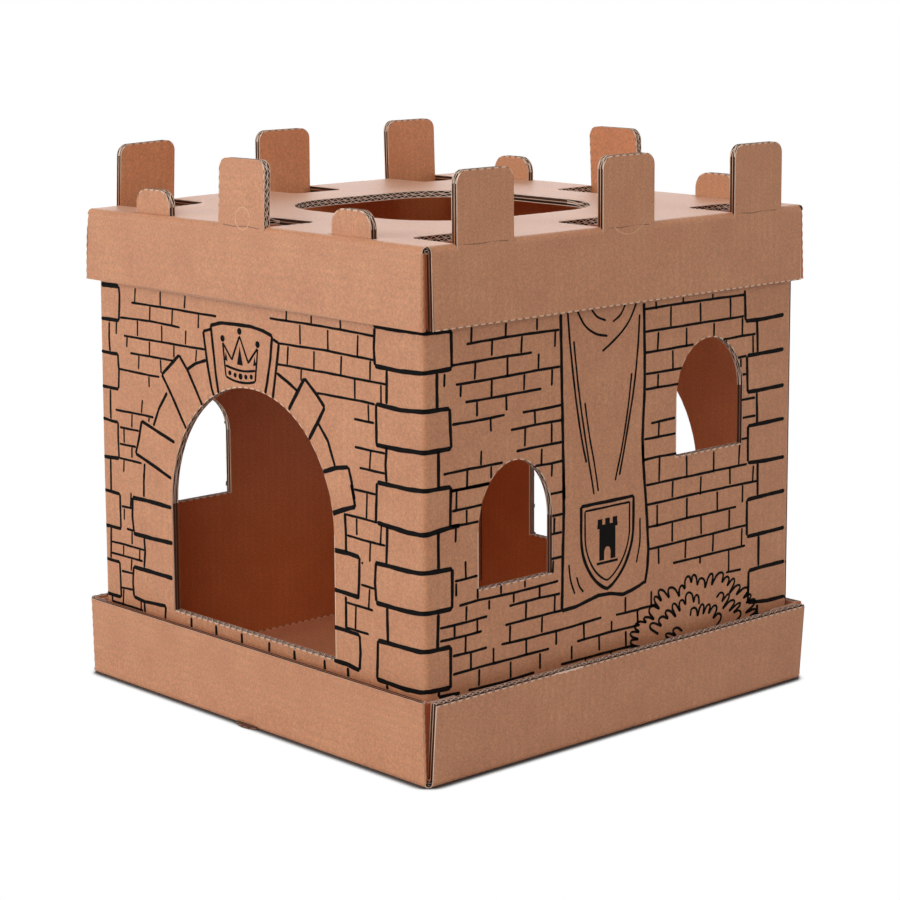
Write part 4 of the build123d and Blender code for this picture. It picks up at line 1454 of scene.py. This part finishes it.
wallTop, ledgeTop = foot + tower["high"], foot + tower["high"] + tower["ledge"]
doorAcross = np.linspace(-1, 1, 9) * tower["door"]
doorArch = foot + tower["doorHigh"] + np.sqrt(np.maximum(tower["door"] ** 2 - doorAcross**2, 0))
addPatch(bannerSheet, np.array([middle - half, middle - tower["door"]]), foot, wallTop)
addPatch(bannerSheet, np.array([middle + tower["door"], middle + half]), foot, wallTop)
addPatch(bannerSheet, middle + doorAcross, doorArch, wallTop)
ledgeEnds = np.array([middle - half - tower["eaves"], middle + half + tower["eaves"]])
addPatch(bannerSheet, ledgeEnds, wallTop, ledgeTop)
merlonEnds = np.array([-tower["merlonHalf"], tower["merlonHalf"]])
for k in (-1, 0, 1):
    addPatch(
        bannerSheet, middle + k * tower["merlonStep"] + merlonEnds, ledgeTop, ledgeTop + tower["merlon"],
    )
groundOut, groundLow, groundHigh = tower["ground"]
groundEnds = np.array([middle - half - groundOut, middle + half + groundOut])
addPatch(bannerSheet, groundEnds, foot + groundLow, foot + groundHigh)
makePiece("banner_print_side", bannerSheet, [ink])

# A round bush beside the banner: rows of leaf scallops on nested ellipses.
bush = {
    "middle": (524.5, 50.0),
    "line": 2.3,
    "rows": [  # half width, half height, first and last angle, number of scallops, how far they bulge
        (76.0, 56.0, -6, 186, 27, 9.0), (56.0, 43.0, 12, 62, 6, 8.5), (54.0, 40.0, 84, 148, 7, 9.0),
        (34.0, 30.0, 30, 100, 5, 8.0), (33.0, 22.0, 120, 176, 4, 7.5), (26.0, 10.0, 20, 80, 3, 7.0),
    ],
    "uneven": 0.22,  # how far a joint between two scallops may stray, as a share of a scallop
    "reaches": (0.93, 1.00, 1.03, 0.98),  # the joints' distances from the middle, in turn
    "stray": 0.02,
    "bulges": (0.7, 1.3),
    "ground": 54.0,  # a scallop that stays below this height is left out
}
bushSheet = newSheet()
for wide, high, first, last, count, bulge in bush["rows"]:
    steps = np.linspace(0, 1, 7)[None, :]
    apart = (last - first) / count
    strayed = dice.uniform(-bush["uneven"], bush["uneven"], count - 1) * apart
    joints = np.radians(np.linspace(first, last, count + 1) + np.append(0, np.append(strayed, 0)))
    reach = np.resize(bush["reaches"], count + 1)
    reach = reach + dice.uniform(-bush["stray"], bush["stray"], count + 1)
    bulge = bulge * dice.uniform(*bush["bulges"], (count, 1))
    angle = joints[:-1, None] * (1 - steps) + joints[1:, None] * steps
    rounded = np.sqrt(np.maximum(1 - (2 * steps - 1) ** 2, 0))
    radius = reach[:-1, None] * (1 - steps) + reach[1:, None] * steps + bulge / high * rounded
    s = bush["middle"][0] + wide * radius * np.cos(angle)
    z = bush["middle"][1] + high * radius * np.sin(angle)
    for k in np.flatnonzero(np.max(z, axis=1) > bush["ground"]):
        addLine(bushSheet, bush["line"], np.stack([s[k], z[k]], -1)[::-1])
makePiece("bush_print_side", bushSheet, [ink])

# Faint marks that the cutting die pressed into the lid: a ring at the foot of the front merlon, and a
# short arc under the middle side merlon.
marks = {
    "line": 0.9,
    "proud": 0.06,
    "ring": (2.0, 430.5, 9.6),  # its middle along the wall, its middle's height, and its radius
    "ringGap": 0.1,
    "arc": (0.0, 441.0, 24.0),
    "arcEnds": (-142, -38),  # in degrees
}
markSheet = newSheet()
ringX, ringZ, ringRadius = marks["ring"]
angle = np.linspace(marks["ringGap"], 2 * np.pi - marks["ringGap"], 33)
ring = np.stack([ringZ + ringRadius * np.sin(angle), ringX + ringRadius * np.cos(angle)], -1)
addLine(markSheet, marks["line"], ring, place=endSkirt(-1), proud=marks["proud"])
arcY, arcZ, arcRadius = marks["arc"]
angle = np.radians(np.linspace(*marks["arcEnds"], 17))
arc = np.stack([arcY + arcRadius * np.cos(angle), arcZ + arcRadius * np.sin(angle)], -1)
addLine(markSheet, marks["line"], arc, place=sideSkirt(1), proud=marks["proud"])
bendMerlons(markSheet)
settle(markSheet)
makePiece(
    "die_marks_lid", markSheet, [pressedKraft("kraft_liner_die_pressed", "#CC8D63", "#ECBC94")],
)

# The scored fold shows as a thin dark crease where each merlon leaves its skirt.
crease = {"line": 0.9, "half": 24.0, "below": 1.3, "wave": 0.45, "waveRun": 5.5, "proud": 0.05}
creaseSheet = newSheet()
along = np.linspace(-crease["half"], crease["half"], 15)
for side in (-1, 1):
    height = lid["top"] - crease["below"] + crease["wave"] * np.sin(along / crease["waveRun"])
    line = np.stack([height, along], -1)
    addLine(creaseSheet, crease["line"], line, place=endSkirt(side), proud=crease["proud"])
    for middle in merlonRows:
        line = np.stack([middle + along, height], -1)
        addLine(creaseSheet, crease["line"], line, place=sideSkirt(side), proud=crease["proud"])
settle(creaseSheet)
makePiece(
    "merlon_creases_lid", creaseSheet, [pressedKraft("kraft_liner_scored_fold", "#7C4A2D", "#A06A48")],
)

# Camera at the photograph's angle, worked out on the box's straight edges.
view = {
    "azimuth": 47.54,
    "elevation": 9.31,
    "roll": -0.30,
    "place": (1659.54, -1510.47, 654.83),
    "focal": 2573.41,  # in pixels of the photograph
    "frame": 900.0,  # the photograph's side in pixels
    "centre": (450.0, 360.0),  # the pixel on the camera's axis
    "sensor": 36.0,
}
azimuth, elevation, roll = (np.radians(view[name]) for name in ("azimuth", "elevation", "roll"))
flat = np.cos(elevation)
back = np.array([np.sin(azimuth) * flat, -np.cos(azimuth) * flat, np.sin(elevation)])
across = np.array([np.cos(azimuth), np.sin(azimuth), 0.0])
up = np.cross(back, across)
across, up = np.cos(roll) * across + np.sin(roll) * up, -np.sin(roll) * across + np.cos(roll) * up
camera = bpy.data.objects.new("camera", bpy.data.cameras.new("camera"))
bpy.context.scene.collection.objects.link(camera)
pose = np.eye(4)
pose[:3, 0], pose[:3, 1], pose[:3, 2], pose[:3, 3] = across, up, back, np.array(view["place"]) / metre
camera.matrix_world = Matrix(pose.tolist())
camera.data.sensor_width = view["sensor"]
camera.data.lens = view["focal"] / view["frame"] * view["sensor"]
camera.data.shift_x = (view["frame"] / 2 - view["centre"][0]) / view["frame"]
camera.data.shift_y = (view["centre"][1] - view["frame"] / 2) / view["frame"]
camera.data.clip_end = 30.0
bpy.context.scene.camera = camera
print("camera at", view["place"])

# A white room: broad lamps in front, above, on the right and behind on the left.
lighting = {
    "world": 0.03,  # how strongly the room's walls light the castle, though they look white
    "size": 1.8,
    "target": (0.0, 0.0, 0.22),
    "lamps": {  # place in metres, and watts
        "front_left": ((-1.35, -2.55, 0.7), 32.0),
        "front": ((0.0, -2.8, 1.6), 14.0),
        "front_right": ((1.6, -2.2, 1.8), 17.0),
        "right": ((4.9, 1.8, 2.0), 52.0),
        "top": ((0.3, -0.3, 3.0), 26.0),
        "back_left": ((-2.2, 2.0, 1.0), 17.0),
    },
    "contact": 0.012,  # how far the contact shadow reaches
}


def addLamp(name, place, power):
    # a square lamp that faces the middle of the castle
    lamp = bpy.data.objects.new(name, bpy.data.lights.new(name, "AREA"))
    lamp.data.energy, lamp.data.size = power, lighting["size"]
    bpy.context.scene.collection.objects.link(lamp)
    away = np.array(place) - np.array(lighting["target"])
    away = away / np.linalg.norm(away)
    right = np.cross((0, 0, 1), away)
    right = right / np.linalg.norm(right)
    turn = np.eye(4)
    turn[:3, 0], turn[:3, 1], turn[:3, 2], turn[:3, 3] = right, np.cross(away, right), away, place
    lamp.matrix_world = Matrix(turn.tolist())


def seenWhite(tree):
    # 1 for rays from the camera and through a shine or a glass, and 0 for the light that falls on things
    seen = addNode(tree, "ShaderNodeLightPath").outputs
    white = addNode(
        tree, "ShaderNodeMath", {0: seen["Is Camera Ray"], 1: seen["Is Glossy Ray"]}, operation="MAXIMUM",
    )
    white = addNode(
        tree, "ShaderNodeMath", {0: white.outputs[0], 1: seen["Is Transmission Ray"]}, operation="MAXIMUM",
    )
    return white.outputs[0]


for name, (place, power) in lighting["lamps"].items():
    addLamp(name + "_lamp", place, power)
world = bpy.data.worlds.new("white_room")
world.use_nodes = True
world.node_tree.nodes.clear()
level = addNode(
    world.node_tree, "ShaderNodeMapRange",
    {"Value": seenWhite(world.node_tree), "To Min": lighting["world"], "To Max": 1.0},
)
sky = addNode(
    world.node_tree, "ShaderNodeBackground", {"Color": (1, 1, 1, 1), "Strength": level.outputs[0]},
)
addNode(world.node_tree, "ShaderNodeOutputWorld", {"Surface": sky.outputs[0]})
bpy.context.scene.world = world
print(len(lighting["lamps"]), "lamps and the room's light")


def studioFloor():
    # a white painted floor: it takes the shadow, and glows for the camera away from what stands on it. Near
    # the castle an occlusion mask, not the lamps, lets the paint show, darkened to 0.15 for the camera: a
    # painted contact shadow over the real one
    material, tree = newMaterial("white_floor_painted")
    white = seenWhite(tree)
    near = addNode(tree, "ShaderNodeAmbientOcclusion", {"Distance": lighting["contact"]}, samples=16)
    clear = addNode(
        tree, "ShaderNodeMapRange", {"Value": near.outputs["AO"], "From Min": 0.50, "From Max": 0.85},
        interpolation_type="SMOOTHSTEP",
    )
    glow = addNode(tree, "ShaderNodeMath", {0: white, 1: clear.outputs[0]}, operation="MULTIPLY")
    # camera rays see the paint darkened from 0.8 to 0.15: painted contact shadow where the glow gives way
    pale = addNode(tree, "ShaderNodeMapRange", {"Value": white, "To Min": 0.8, "To Max": 0.15})
    pale = addNode(
        tree, "ShaderNodeCombineXYZ", {0: pale.outputs[0], 1: pale.outputs[0], 2: pale.outputs[0]},
    )
    paint = addNode(tree, "ShaderNodeBsdfDiffuse", {"Color": pale.outputs[0]})
    shine = addNode(tree, "ShaderNodeEmission", {"Color": (1, 1, 1, 1), "Strength": 1.0})
    both = addNode(
        tree, "ShaderNodeMixShader", {0: glow.outputs[0], 1: paint.outputs[0], 2: shine.outputs[0]},
    )
    addNode(tree, "ShaderNodeOutputMaterial", {"Surface": both.outputs[0]})
    return material


studio = {"reach": 6.0, "under": 0.0002}  # in metres: the floor lies a little under the tray
ends = ((-1, -1), (1, -1), (1, 1), (-1, 1))
floorPoints = [(x * studio["reach"], y * studio["reach"], -studio["under"]) for x, y in ends]
floorMesh = bpy.data.meshes.new("studio_floor")
floorMesh.from_pydata(floorPoints, [], [(0, 1, 2, 3)])
floorMesh.materials.append(studioFloor())
floor = bpy.data.objects.new("studio_floor", floorMesh)
bpy.context.scene.collection.objects.link(floor)
bpy.context.scene.view_settings.view_transform = "Standard"
